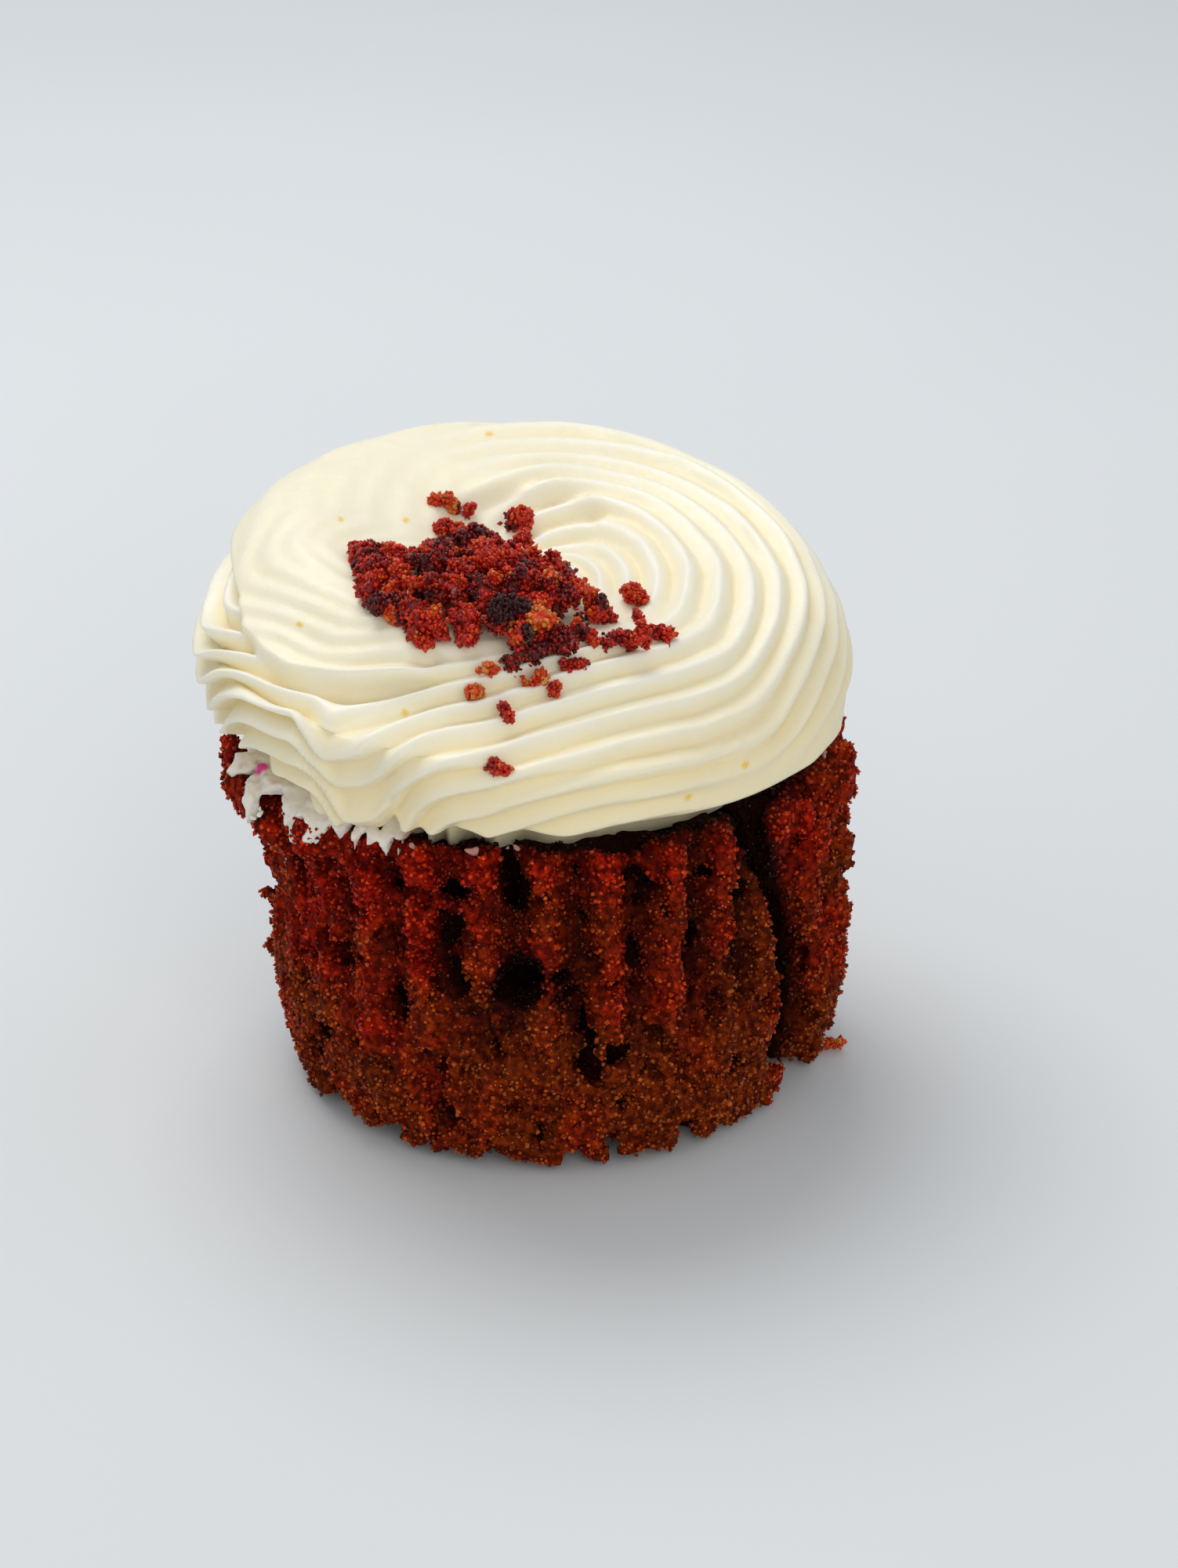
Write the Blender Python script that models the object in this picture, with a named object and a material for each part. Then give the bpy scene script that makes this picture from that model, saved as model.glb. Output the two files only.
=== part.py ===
"""Red velvet cupcake: fluted sponge, piped swirl of frosting, heap of sponge crumbs.

Metres, +Z up. The origin is the centre of the base, on the surface that the cupcake
stands on. The front, where the piped rope kinks and the crumbs lie nearer, is -Y.
Angles run counter-clockwise from +X, seen from above.
"""
import math

import bmesh
import bpy
import numpy as np
from mathutils import Matrix, Vector
from mathutils.bvhtree import BVHTree

MM = 0.001
GAP = 0.3 * MM                  # clearance between pieces that rest on each other

# Sponge
BASE_RADIUS = 24.4 * MM         # standard 50 mm cupcake liner, less the sponge's shrinkage
BODY_RADIUS = 27.4 * MM         # side of the sponge from a third of its height up
SPONGE_HEIGHT = 35.4 * MM
TOE_HEIGHT = 2.2 * MM           # rounded lower edge
TAPER_HEIGHT = 13.0 * MM        # height over which the base widens to the body
SHOULDER_HEIGHT = 2.0 * MM      # rounded upper edge
FLUTES = 28                     # folds left by the paper liner
FLUTE_DEPTH = 0.75 * MM
COLUMNS_PER_FLUTE = 3
SPONGE_ROWS = 11
FLAP_ANGLE = 186.0              # torn rim that flares out at the left
FLAP_SPREAD = 34.0
FLAP_REACH = 4.6 * MM
FLAP_FOOT = 26.0 * MM           # height at which the flap leaves the side
LOBE_END = 45.0                 # the stretch from the crack to here stands proud
LOBE_REACH = 2.3 * MM
CRACK_BASE_ANGLE = -15.0        # deep crack that leans forwards as it rises
CRACK_TOP_ANGLE = -43.0
CRACK_BASE_WIDTH = 4.6 * MM
CRACK_TOP_WIDTH = 2.2 * MM
CRACK_DEPTH = 6.5 * MM
CRACK_ROWS = 8
CAVITY_ANGLE = -94.5            # open pore in the front
CAVITY_HEIGHT = 21.1 * MM
CAVITY_SIZE = (2.3 * MM, 3.0 * MM, 2.0 * MM)

# Frosting: a flat swirl about an axis a little left of the sponge's
SWIRL_X = -1.9 * MM
FROSTING_FLOOR = SPONGE_HEIGHT + GAP
EYE_HEIGHT = 53.6 * MM          # surface at the swirl's centre
EYE_SINK = 1.2 * MM             # how far the inner coil lies below the one round it
COARSE_TURN = 5.8               # degrees between columns of the frosting's mesh
FINE_TURN = 2.8                 # the same where the ridges climb and kink
KINK_ANGLE = 238.5              # where every ridge dips in a U, at the front left
SEAM_ANGLE = 165.0              # where the count of the rope's turns starts, at the back left
RIDGES_A_TURN = 12              # ridges by which the rope moves inwards in a turn
RIDGE_PITCH = 3.55 * MM         # distance between ridges at the seam
START_ARC = -3.0 * MM           # arc length of the reference ridge at the seam
ROWS_PER_RIDGE = 3
LOWEST_ROW = -40                # rows of the mesh, counted from the reference ridge
HIGHEST_ROW = 36
INNER_ROWS = 5
RIDGED_BAND = 35.0 * MM         # arc length of the ridged band, up from the lower edge
LIP = 3.5 * MM                  # width of the hollow under the lower edge

# Crumb heap
HEAP_X = -6.3 * MM
HEAP_Y = -13.0 * MM
HEAP_RADIUS = 11.2 * MM
HEAP_HEIGHT = 4.6 * MM
HEAP_COLUMNS = 30
HEAP_RINGS = 7


def wave(angle, mean, sin1=0.0, cos1=0.0, sin2=0.0, cos2=0.0):
    """A length in millimetres that varies round the cupcake, as two harmonics."""
    a = np.radians(angle)
    total = mean + sin1 * np.sin(a) + cos1 * np.cos(a) + sin2 * np.sin(2 * a) + cos2 * np.cos(2 * a)
    return total * MM


def turn(angle, centre):
    """Signed angle in degrees from centre to angle, between -180 and 180."""
    return (np.asarray(angle) - centre + 180.0) % 360.0 - 180.0


def step(x, low, high):
    """Smooth rise from 0 at low to 1 at high."""
    t = np.clip((np.asarray(x, float) - low) / (high - low), 0.0, 1.0)
    return t * t * (3.0 - 2.0 * t)


def bell(x, width):
    """Smooth bump of height 1 about 0."""
    return np.exp(-(np.asarray(x) / width) ** 2)


def sector(angle, begin, full, fade, end):
    """1 from the angle full round to fade, falling to 0 at begin and at end."""
    t = (np.asarray(angle, float) - begin) % 360.0
    return step(t, 0, full - begin) * (1 - step(t, fade - begin, end - begin))


# ---------------------------------------------------------------- frosting surface

def outline(angle):
    """Radius and height of the smooth swirl at seven stations, centre to lower edge."""
    one = np.ones_like(np.asarray(angle, float))
    radius = [0 * one, 6 * MM * one, 12 * MM * one, 21 * MM * one, 27.2 * MM * one,
              wave(angle, 31.4, -0.2, -0.1, 1.2, -0.4), wave(angle, 29.6, 0.6, 0.6, -0.3, 0.5)]
    height = [EYE_HEIGHT * one, (EYE_HEIGHT + 0.3 * MM) * one, wave(angle, 55.0, 1.5, -0.3),
              wave(angle, 55.3, 2.0, -2.0), wave(angle, 52.8, 4.4, -1.7),
              wave(angle, 45.9, 0.5, -1.9, 0.9, -0.3), wave(angle, 37.7, -0.5, 0.0, -0.4, 0.2)]
    return np.stack(radius, -1), np.stack(height, -1)


def smooth_swirl(angle, arc):
    """Point (radius, height) at a given arc length up from the lower edge."""
    radius, height = outline(angle)
    radius = radius[..., ::-1]
    height = height[..., ::-1]
    hops = np.hypot(np.diff(radius, axis=-1), np.diff(height, axis=-1))
    knots = np.concatenate([np.zeros_like(hops[..., :1]), np.cumsum(hops, -1)], -1)
    span = np.clip((knots[..., 1:] <= arc[..., None]).sum(-1), 0, hops.shape[-1] - 1)

    def pick(values, index):
        return np.take_along_axis(values, index[..., None], -1)[..., 0]

    def slope(values, index):
        before = np.clip(index - 1, 0, None)
        after = np.clip(index + 1, None, hops.shape[-1])
        return (pick(values, after) - pick(values, before)) / (pick(knots, after) - pick(knots, before))

    length = pick(hops, span)
    t = np.clip((arc - pick(knots, span)) / length, 0.0, 1.0)
    point = []
    for values in (radius, height):
        point.append((2 * t ** 3 - 3 * t ** 2 + 1) * pick(values, span)
                     + (t ** 3 - 2 * t ** 2 + t) * length * slope(values, span)
                     + (3 * t ** 2 - 2 * t ** 3) * pick(values, span + 1)
                     + (t ** 3 - t ** 2) * length * slope(values, span + 1))
    return point


def arc_total(angle):
    radius, height = outline(angle)
    return np.hypot(np.diff(radius, axis=-1), np.diff(height, axis=-1)).sum(-1)


def ridge_course(angle, arc):
    """Arc length of the reference ridge: it winds inwards, and kinks at the front left."""
    turned = (np.asarray(angle, float) - SEAM_ANGLE) % 360.0
    winding = RIDGES_A_TURN * RIDGE_PITCH * turned / 360 + 3.0 * MM * np.sin(np.radians(angle - 345.0))
    climb = 5.6 * sector(angle, 190, 219, 268, 325) + 3.0 * sector(angle, 226, 256, 268, 325)
    climb = climb * (1 - step(arc, 12 * MM, 31 * MM)) + 1.7 * sector(angle, 110, 160, 222, 250)
    kink = sector(angle, KINK_ANGLE - 9.5, KINK_ANGLE - 1.5, KINK_ANGLE + 3, KINK_ANGLE + 20.5)
    kink = kink * (1 - step(arc, 7.5 * MM, 19 * MM))
    return START_ARC + winding + climb * MM - 5.3 * MM * kink


def ridge_phase(angle, arc):
    """Number of ridges passed since the reference ridge, whole numbers on the crests."""
    above = arc - ridge_course(angle, arc)
    tight = sector(angle, 258, 300, 350, 480)
    narrow = 0.75 * MM * sector(angle, 168, 198, 224, 244)
    outer = RIDGE_PITCH + 0.3 * MM * bell(turn(angle, 255), 9) - 0.85 * MM * tight - narrow
    inner = RIDGE_PITCH - 0.35 * MM * tight - narrow
    return above / np.where(above < 0, outer, inner)


def edge_arc(angle):
    """Arc length at which the frosting ends below: 0, but more where the rope lifts at the left."""
    lift = 2.6 * sector(angle, 185, 196, 218, 233) + 0.8 * sector(angle, 203, 210, 216, 226)
    return (lift + 1.7 * bell(turn(angle, 246), 2.6)) * MM


def layer_edge(angle):
    """Arc length of the edge between the rope's lower turn and its upper turn."""
    return (16.4 - 1.1 * sector(angle, 196, 207, 221, 229) + 2.5 * sector(angle, 226, 248, 300, 330)) * MM


def left_side(angle):
    """1 where the ridges of the lower turn stand out most."""
    return sector(angle, 110, 150, 226, 240)


def ridge_height(angle, arc):
    """Half-height of the ridges: deep below, faint on the smooth parts of the upper turn."""
    lower = 0.52 + 0.52 * left_side(angle) + 0.14 * bell(turn(angle, 258), 30)
    upper = 0.06 + 0.46 * sector(angle, 304, 324, 430, 480) + 0.05 * sector(angle, 130, 190, 235, 262)
    below = layer_edge(angle) - arc
    rise = 1 - step(below, (2.6 * left_side(angle) - 3.2) * MM, 0.6 * MM)
    tucked = 0.30 * left_side(angle) * (1 - step(below, 0.5 * MM, 4.0 * MM))
    plain_foot = 0.8 * sector(angle, 285, 315, 390, 430) * (1 - step(arc, 2 * MM, 5 * MM))
    return (lower + (upper - lower) * rise) * (1 - plain_foot) * (1 - tucked) * MM


def layer_relief(angle, arc):
    """Lip of the rope's upper turn at the left, which hangs over the ridges of the lower turn."""
    above = (arc - layer_edge(angle)) / MM
    lip = step(above, -0.35, 0.45)
    profile = 0.8 * np.exp(-np.abs(above) / 7) * lip - 1.25 * np.exp(-np.abs(above) / 6) * (1 - lip)
    return sector(angle, 120, 165, 240, 256) * profile * MM


def eye_depth(angle, arc):
    """How far the inner coil lies below the coil round it; deepest at the back."""
    border = np.minimum(ridge_course(angle, arc) + 9.1 * MM, 36.8 * MM)
    inside = step(arc, border - 0.7 * MM, border + 0.7 * MM) * sector(angle, 296, 318, 490, 530)
    return inside * EYE_SINK * (0.35 + 0.65 * sector(angle, 0, 60, 125, 160))


def cusp(phase, roundness):
    """Ridge section from -1 in the valley to +1 on the crest, which is sharp unless rounded."""
    x = 2 * np.abs(phase - np.round(phase))
    soft = np.sqrt(x * x + 0.05) - 0.22
    sharp = 2 * np.clip(1 - soft, 0, 1) ** 1.5 - 1
    return sharp + (np.cos(math.pi * x) - sharp) * roundness


def swirl_relief(angle, arc):
    """Height over the smooth swirl of the piped ridges and the layer's edge, less the eye's depth."""
    roundness = 0.6 * left_side(angle) + 0.35 * sector(angle, 290, 330, 400, 460)
    height = ridge_height(angle, arc) * (1 - step(arc, RIDGED_BAND - 1.5 * MM, RIDGED_BAND + 1.5 * MM))
    relief = height * cusp(ridge_phase(angle, arc), roundness)
    relief += layer_relief(angle, arc)
    return relief - eye_depth(angle, arc)


def frosting_point(angle, arc):
    """Points of the finished top surface of the frosting, shape (..., 3)."""
    nudge = 0.05 * MM
    radius, height = smooth_swirl(angle, arc)
    radius2, height2 = smooth_swirl(angle, arc + nudge)
    length = np.hypot(radius2 - radius, height2 - height) + 1e-12
    out_r = (height2 - height) / length
    out_z = -(radius2 - radius) / length
    cos_a = np.cos(np.radians(angle))
    sin_a = np.sin(np.radians(angle))
    relief = swirl_relief(angle, arc)
    radius = radius + relief * out_r
    return np.stack([SWIRL_X + radius * cos_a, radius * sin_a, height + relief * out_z], -1)


def column_angles():
    """Angles of the mesh's columns from the seam round, closer together at the kink."""
    angles = []
    angle = SEAM_ANGLE
    while angle < SEAM_ANGLE + 360.0 - 0.6 * COARSE_TURN:
        angles.append(angle)
        angle += FINE_TURN if SEAM_ANGLE < angle + COARSE_TURN < KINK_ANGLE + 24 else COARSE_TURN
    return np.array(angles)


def ridge_rows(angle):
    """Arc lengths at one angle of the rows that follow the ridges, lowest first.

    Rows that would fall outside the ridged band all lie on its edge."""
    low = float(edge_arc(angle))
    arcs = np.linspace(low, RIDGED_BAND, 400)
    phases = ridge_phase(np.full(arcs.shape, angle), arcs)
    rows = np.interp(np.arange(LOWEST_ROW, HIGHEST_ROW + 1) / ROWS_PER_RIDGE, phases, arcs)
    spacing = 0.45 * RIDGE_PITCH / ROWS_PER_RIDGE
    rows[rows < low + spacing] = low
    rows[rows > RIDGED_BAND - spacing] = RIDGED_BAND
    return rows


def frosting_columns(angles):
    """Two arrays of points, one row for each angle: the ridged band and the rest, centre last."""
    band = np.array([ridge_rows(angle) for angle in angles])
    inner = (arc_total(angles) - RIDGED_BAND)[:, None] * np.arange(1, INNER_ROWS) / INNER_ROWS
    outer_points = frosting_point(np.broadcast_to(angles[:, None], band.shape), band)
    inner_points = frosting_point(np.broadcast_to(angles[:, None], inner.shape), RIDGED_BAND + inner)
    return outer_points, inner_points


def frosting_mesh():
    """Loft of the swirl. The ridged band's rows wind inwards, so at the seam they join others."""
    outer_points, inner_points = frosting_columns(column_angles())
    edge = outer_points[:, 0]
    outward = (edge[:, :2] - [SWIRL_X, 0]) / np.linalg.norm(edge[:, :2] - [SWIRL_X, 0], axis=1)[:, None]
    foot = edge.copy()
    foot[:, :2] -= outward * (LIP + 1.2 * (edge[:, 2:] - FROSTING_FLOOR))
    foot[:, 2] = FROSTING_FLOOR
    mesh = bmesh.new()
    feet = [mesh.verts.new(point) for point in foot]
    outer = [[mesh.verts.new(point) for point in column] for column in outer_points]
    inner = [[column[-1]] + [mesh.verts.new(point) for point in points]
             for column, points in zip(outer, inner_points)]
    top = mesh.verts.new((SWIRL_X, 0, EYE_HEIGHT))
    bottom = mesh.verts.new((SWIRL_X, 0, FROSTING_FLOOR))
    for i in range(len(feet)):
        j = (i + 1) % len(feet)
        shift = RIDGES_A_TURN * ROWS_PER_RIDGE if j == 0 else 0
        join_columns(mesh, outer[i], outer[j][shift:])
        join_columns(mesh, inner[i], inner[j])
        join_columns(mesh, [feet[i], outer[i][0]], [feet[j], outer[j][0]])
        mesh.faces.new((inner[i][-1], inner[j][-1], top))
        mesh.faces.new((feet[j], feet[i], bottom))
    bmesh.ops.remove_doubles(mesh, verts=mesh.verts[:], dist=0.002 * MM)
    return mesh


def join_columns(mesh, left, right):
    for k in range(min(len(left), len(right)) - 1):
        mesh.faces.new((left[k], right[k], right[k + 1], left[k + 1]))


# ---------------------------------------------------------------- sponge

def crack_angle(share):
    """Angle of the crack's middle at a share of the sponge's height."""
    return CRACK_BASE_ANGLE + (CRACK_TOP_ANGLE - CRACK_BASE_ANGLE) * share


def sponge_radius(angle, height):
    """Radius of the side: taper, rounded edges, flutes, torn flap and proud lobe."""
    radius = BASE_RADIUS + (BODY_RADIUS - BASE_RADIUS) * step(height, -0.4 * TAPER_HEIGHT, TAPER_HEIGHT)
    toe = 1 - min(height / TOE_HEIGHT, 1.0)
    radius -= TOE_HEIGHT * 0.8 * (1 - math.sqrt(1 - toe * toe))
    shoulder = max(0.0, 1 - (SPONGE_HEIGHT - height) / SHOULDER_HEIGHT)
    radius -= SHOULDER_HEIGHT * (1 - math.sqrt(1 - shoulder * shoulder))
    flutes = math.cos(math.radians(angle) * FLUTES)
    strength = (0.35 + 0.65 * step(height, 10 * MM, 20 * MM)) * step(height, 0.0, TOE_HEIGHT)
    quiet_left = 1 - 0.7 * bell(turn(angle, 190), 50)
    radius += FLUTE_DEPTH * flutes * strength * quiet_left
    flap = bell(turn(angle, FLAP_ANGLE), FLAP_SPREAD) * step(height, FLAP_FOOT, FLAP_FOOT + 6 * MM)
    radius += flap * FLAP_REACH
    lobe_begin = crack_angle(height / SPONGE_HEIGHT)
    lobe = sector(angle, lobe_begin, lobe_begin + 6, LOBE_END - 25, LOBE_END)
    return float(radius + lobe * LOBE_REACH)


def sponge_mesh():
    """A cylinder, cut into rows and drawn in and out to the sponge's section."""
    columns = FLUTES * COLUMNS_PER_FLUTE
    mesh = bmesh.new()
    bmesh.ops.create_cone(mesh, cap_ends=True, cap_tris=False, segments=columns, radius1=BODY_RADIUS,
                          radius2=BODY_RADIUS, depth=SPONGE_HEIGHT,
                          matrix=Matrix.Translation((0, 0, SPONGE_HEIGHT / 2)))
    heights = [TOE_HEIGHT * 0.3, TOE_HEIGHT]
    for row in range(1, SPONGE_ROWS - 3):
        heights.append(TOE_HEIGHT + (SPONGE_HEIGHT - SHOULDER_HEIGHT - TOE_HEIGHT) * row / (SPONGE_ROWS - 3))
    heights += [SPONGE_HEIGHT - SHOULDER_HEIGHT, SPONGE_HEIGHT - 0.35 * SHOULDER_HEIGHT]
    for height in heights:
        bmesh.ops.bisect_plane(mesh, geom=mesh.verts[:] + mesh.edges[:] + mesh.faces[:], dist=1e-7,
                               plane_co=(0, 0, height), plane_no=(0, 0, 1))
    for vert in mesh.verts:
        angle = math.atan2(vert.co.y, vert.co.x)
        radius = sponge_radius(math.degrees(angle), vert.co.z)
        vert.co.x = radius * math.cos(angle)
        vert.co.y = radius * math.sin(angle)
    return mesh


# ---------------------------------------------------------------- crumb heap

def heap_reach(angle):
    """Uneven outline of the heap, seen from above."""
    a = np.radians(angle)
    lobes = 1 + 0.13 * np.cos(2 * a + 1.15) + 0.06 * np.sin(5 * a + 0.7) + 0.05 * np.sin(9 * a + 2.1)
    return HEAP_RADIUS * lobes


def heap_rise(angle, fraction):
    """Lumpy height of the heap over the frosting, fraction 0 at its middle, 1 at its rim."""
    dome = (1 - fraction ** 2) ** 0.75
    a = math.radians(angle)
    x = fraction * math.cos(a)
    y = fraction * math.sin(a)
    lumps = math.sin(5.1 * x + 3.7 * y + 0.6) * math.sin(6.3 * y - 2.9 * x + 1.3)
    return HEAP_HEIGHT * dome * (0.88 + 0.22 * lumps) + 0.5 * MM


def heap_mesh(frosting):
    """The heap lies on the frosting: its underside follows that mesh, GAP above it."""
    tree = BVHTree.FromBMesh(frosting)

    def floor_at(x, y):
        reach = 0.8 * MM
        levels = []
        for dx, dy in ((0, 0), (reach, 0), (-reach, 0), (0, reach), (0, -reach)):
            hit = tree.ray_cast(Vector((x + dx, y + dy, 0.1)), Vector((0, 0, -1)))[0]
            levels.append(hit.z)
        return max(levels) + GAP

    mesh = bmesh.new()
    upper = []
    lower = []
    for ring in range(1, HEAP_RINGS + 1):
        fraction = ring / HEAP_RINGS
        upper.append([])
        lower.append([])
        for i in range(HEAP_COLUMNS):
            angle = 360.0 * i / HEAP_COLUMNS
            reach = heap_reach(angle) * fraction
            x = HEAP_X + float(reach * math.cos(math.radians(angle)))
            y = HEAP_Y + float(reach * math.sin(math.radians(angle)))
            floor = floor_at(x, y)
            lower[-1].append(mesh.verts.new((x, y, floor)))
            upper[-1].append(mesh.verts.new((x, y, floor + heap_rise(angle, fraction))))
    floor = floor_at(HEAP_X, HEAP_Y)
    bottom = mesh.verts.new((HEAP_X, HEAP_Y, floor))
    top = mesh.verts.new((HEAP_X, HEAP_Y, floor + heap_rise(0, 0)))
    for i in range(HEAP_COLUMNS):
        j = (i + 1) % HEAP_COLUMNS
        mesh.faces.new((top, upper[0][i], upper[0][j]))
        mesh.faces.new((bottom, lower[0][j], lower[0][i]))
        mesh.faces.new((lower[-1][i], lower[-1][j], upper[-1][j], upper[-1][i]))
        for k in range(HEAP_RINGS - 1):
            mesh.faces.new((upper[k][i], upper[k + 1][i], upper[k + 1][j], upper[k][j]))
            mesh.faces.new((lower[k][j], lower[k + 1][j], lower[k + 1][i], lower[k][i]))
    return mesh


# ---------------------------------------------------------------- scene assembly

def clear_scene():
    for old in list(bpy.data.objects):
        bpy.data.objects.remove(old, do_unlink=True)


def new_collection(name):
    collection = bpy.data.collections.new(name)
    bpy.context.scene.collection.children.link(collection)
    return collection


def principled(name, colour, roughness):
    material = bpy.data.materials.new(name)
    material.use_nodes = True
    shader = material.node_tree.nodes["Principled BSDF"]
    shader.inputs["Base Color"].default_value = (*colour, 1)
    shader.inputs["Roughness"].default_value = roughness
    shader.inputs["Metallic"].default_value = 0.0
    return material


def sponge_material():
    return principled("sponge", (0.11, 0.016, 0.008), 0.75)


def frosting_material():
    return principled("frosting", (0.87, 0.82, 0.66), 0.42)


def crumb_material():
    return principled("crumbs", (0.16, 0.015, 0.010), 0.5)


def add_object(name, mesh, collection, material=None):
    bmesh.ops.triangulate(mesh, faces=mesh.faces[:])
    bmesh.ops.recalc_face_normals(mesh, faces=mesh.faces[:])
    data = bpy.data.meshes.new(name)
    mesh.to_mesh(data)
    mesh.free()
    part = bpy.data.objects.new(name, data)
    collection.objects.link(part)
    if material:
        data.materials.append(material)
        data.shade_smooth()
        data.set_sharp_from_angle(angle=math.radians(60))
    return part


def add_cutter(name, mesh, collection, target):
    cutter = add_object(name, mesh, collection)
    cutter.hide_render = True
    cutter.display_type = 'WIRE'
    cut = target.modifiers.new(name, 'BOOLEAN')
    cut.operation = 'DIFFERENCE'
    cut.object = cutter
    return cutter


def crack_cutter():
    """Leaning wedge, narrow at its inner end and towards the top."""
    mesh = bmesh.new()
    bmesh.ops.create_cube(mesh, size=1.0)
    uprights = [e for e in mesh.edges if abs(e.verts[0].co.z - e.verts[1].co.z) > 0.5]
    bmesh.ops.subdivide_edges(mesh, edges=uprights, cuts=CRACK_ROWS - 1, use_grid_fill=True)
    for vert in mesh.verts:
        far = vert.co.x > 0
        share = 0.5 + 1.3 * vert.co.z
        width = CRACK_BASE_WIDTH + (CRACK_TOP_WIDTH - CRACK_BASE_WIDTH) * share
        side = vert.co.y * width * (1.3 if far else 0.4)
        lean = math.radians(crack_angle(share))
        reach = BODY_RADIUS + LOBE_REACH + 3 * MM if far else BODY_RADIUS - CRACK_DEPTH
        vert.co = (reach * math.cos(lean) - side * math.sin(lean),
                   reach * math.sin(lean) + side * math.cos(lean), SPONGE_HEIGHT * share)
    return mesh


def cavity_cutter():
    mesh = bmesh.new()
    bmesh.ops.create_uvsphere(mesh, u_segments=10, v_segments=6, radius=1.0)
    size_x, size_y, size_z = CAVITY_SIZE
    angle = math.radians(CAVITY_ANGLE)
    bmesh.ops.scale(mesh, vec=(size_x, size_y, size_z), verts=mesh.verts[:])
    bmesh.ops.translate(mesh, verts=mesh.verts[:], vec=(
        BODY_RADIUS * math.cos(angle), BODY_RADIUS * math.sin(angle), CAVITY_HEIGHT))
    return mesh


def build():
    clear_scene()
    cupcake = new_collection("cupcake")
    cutters = new_collection("cutters")
    cake = add_object("cake", sponge_mesh(), cupcake, sponge_material())
    add_cutter("crack_cutter", crack_cutter(), cutters, cake)
    add_cutter("cavity_cutter", cavity_cutter(), cutters, cake)
    swirl = frosting_mesh()
    heap = heap_mesh(swirl)
    add_object("frosting", swirl, cupcake, frosting_material())
    add_object("crumb_heap", heap, cupcake, crumb_material())


build()
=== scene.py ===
"""Looks of the cupcake: open sponge crumb, piped frosting, crumb heap, loose crumbs, smears.

Metres, +Z up, front is -Y. Angles are in degrees, counter-clockwise from +X seen from above.
"""
import math

import bmesh
import bpy
import numpy as np
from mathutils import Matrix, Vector
from mathutils.bvhtree import BVHTree
from mathutils.kdtree import KDTree


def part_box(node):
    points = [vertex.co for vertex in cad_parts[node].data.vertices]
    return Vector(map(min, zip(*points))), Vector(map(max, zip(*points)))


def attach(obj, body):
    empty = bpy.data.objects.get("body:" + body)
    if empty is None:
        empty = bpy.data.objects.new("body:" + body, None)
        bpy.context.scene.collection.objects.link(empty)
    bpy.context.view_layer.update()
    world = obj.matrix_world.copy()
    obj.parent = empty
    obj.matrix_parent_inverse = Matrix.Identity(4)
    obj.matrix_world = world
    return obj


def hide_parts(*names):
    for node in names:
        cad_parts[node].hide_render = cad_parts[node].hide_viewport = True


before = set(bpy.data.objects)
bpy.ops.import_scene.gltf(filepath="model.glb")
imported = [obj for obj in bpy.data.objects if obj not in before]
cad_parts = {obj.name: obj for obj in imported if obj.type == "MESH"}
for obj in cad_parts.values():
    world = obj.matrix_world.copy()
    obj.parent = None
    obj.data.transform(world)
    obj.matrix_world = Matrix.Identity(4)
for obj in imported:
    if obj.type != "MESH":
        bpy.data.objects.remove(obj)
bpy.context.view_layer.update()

MM = 0.001
CAKE_LOW, CAKE_HIGH = (Vector(corner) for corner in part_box("cake"))
FROSTING_LOW, FROSTING_HIGH = (Vector(corner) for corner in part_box("frosting"))
HEAP_LOW, HEAP_HIGH = (Vector(corner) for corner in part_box("crumb_heap"))

# Sponge, as in the CAD
SPONGE_HEIGHT = CAKE_HIGH.z
BASE_RADIUS = 24.4 * MM
BODY_RADIUS = 27.4 * MM
TOE_HEIGHT = 2.2 * MM
TAPER_HEIGHT = 13.0 * MM
SHOULDER_HEIGHT = 2.0 * MM
FLUTES = 28
FLUTE_CREST = 0.8 * MM
FLUTE_GROOVE = 2.3 * MM
FLAP_ANGLE = 186.0
FLAP_SPREAD = 34.0
FLAP_REACH = 4.6 * MM
FLAP_FOOT = 26.0 * MM
LOBE_END = 45.0
LOBE_REACH = 2.3 * MM
CRACK_BASE_ANGLE = -15.0
CRACK_TOP_ANGLE = -43.0
CRACK_BASE_WIDTH = 4.6 * MM
CRACK_TOP_WIDTH = 2.2 * MM
CRACK_DEPTH = 6.5 * MM
CAVITY_ANGLE = -94.5
CAVITY_HEIGHT = 21.1 * MM
CAVITY_SIZE = (2.8 * MM, 2.0 * MM)

# Frosting, as in the CAD
SWIRL_X = -1.9 * MM
FROSTING_FLOOR = FROSTING_LOW.z
SEAT = 1.6 * MM                 # how deep the frosting sits in the sponge, so that no gap shows
# Rings under the lower edge: share of the way in to the neck, share of the edge's height
COVE = [(1.0, 0.0), (1.0, 0.12), (0.96, 0.36), (0.84, 0.58), (0.64, 0.74), (0.4, 0.85), (0.18, 0.92)]
EYE_HEIGHT = 53.6 * MM
EYE_SINK = 1.2 * MM
KINK_ANGLE = 238.5
SEAM_ANGLE = 165.0
START_ARC = -3.0 * MM
RIDGES_A_TURN = 12
RIDGE_PITCH = 3.55 * MM
LIP = 3.5 * MM

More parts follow.
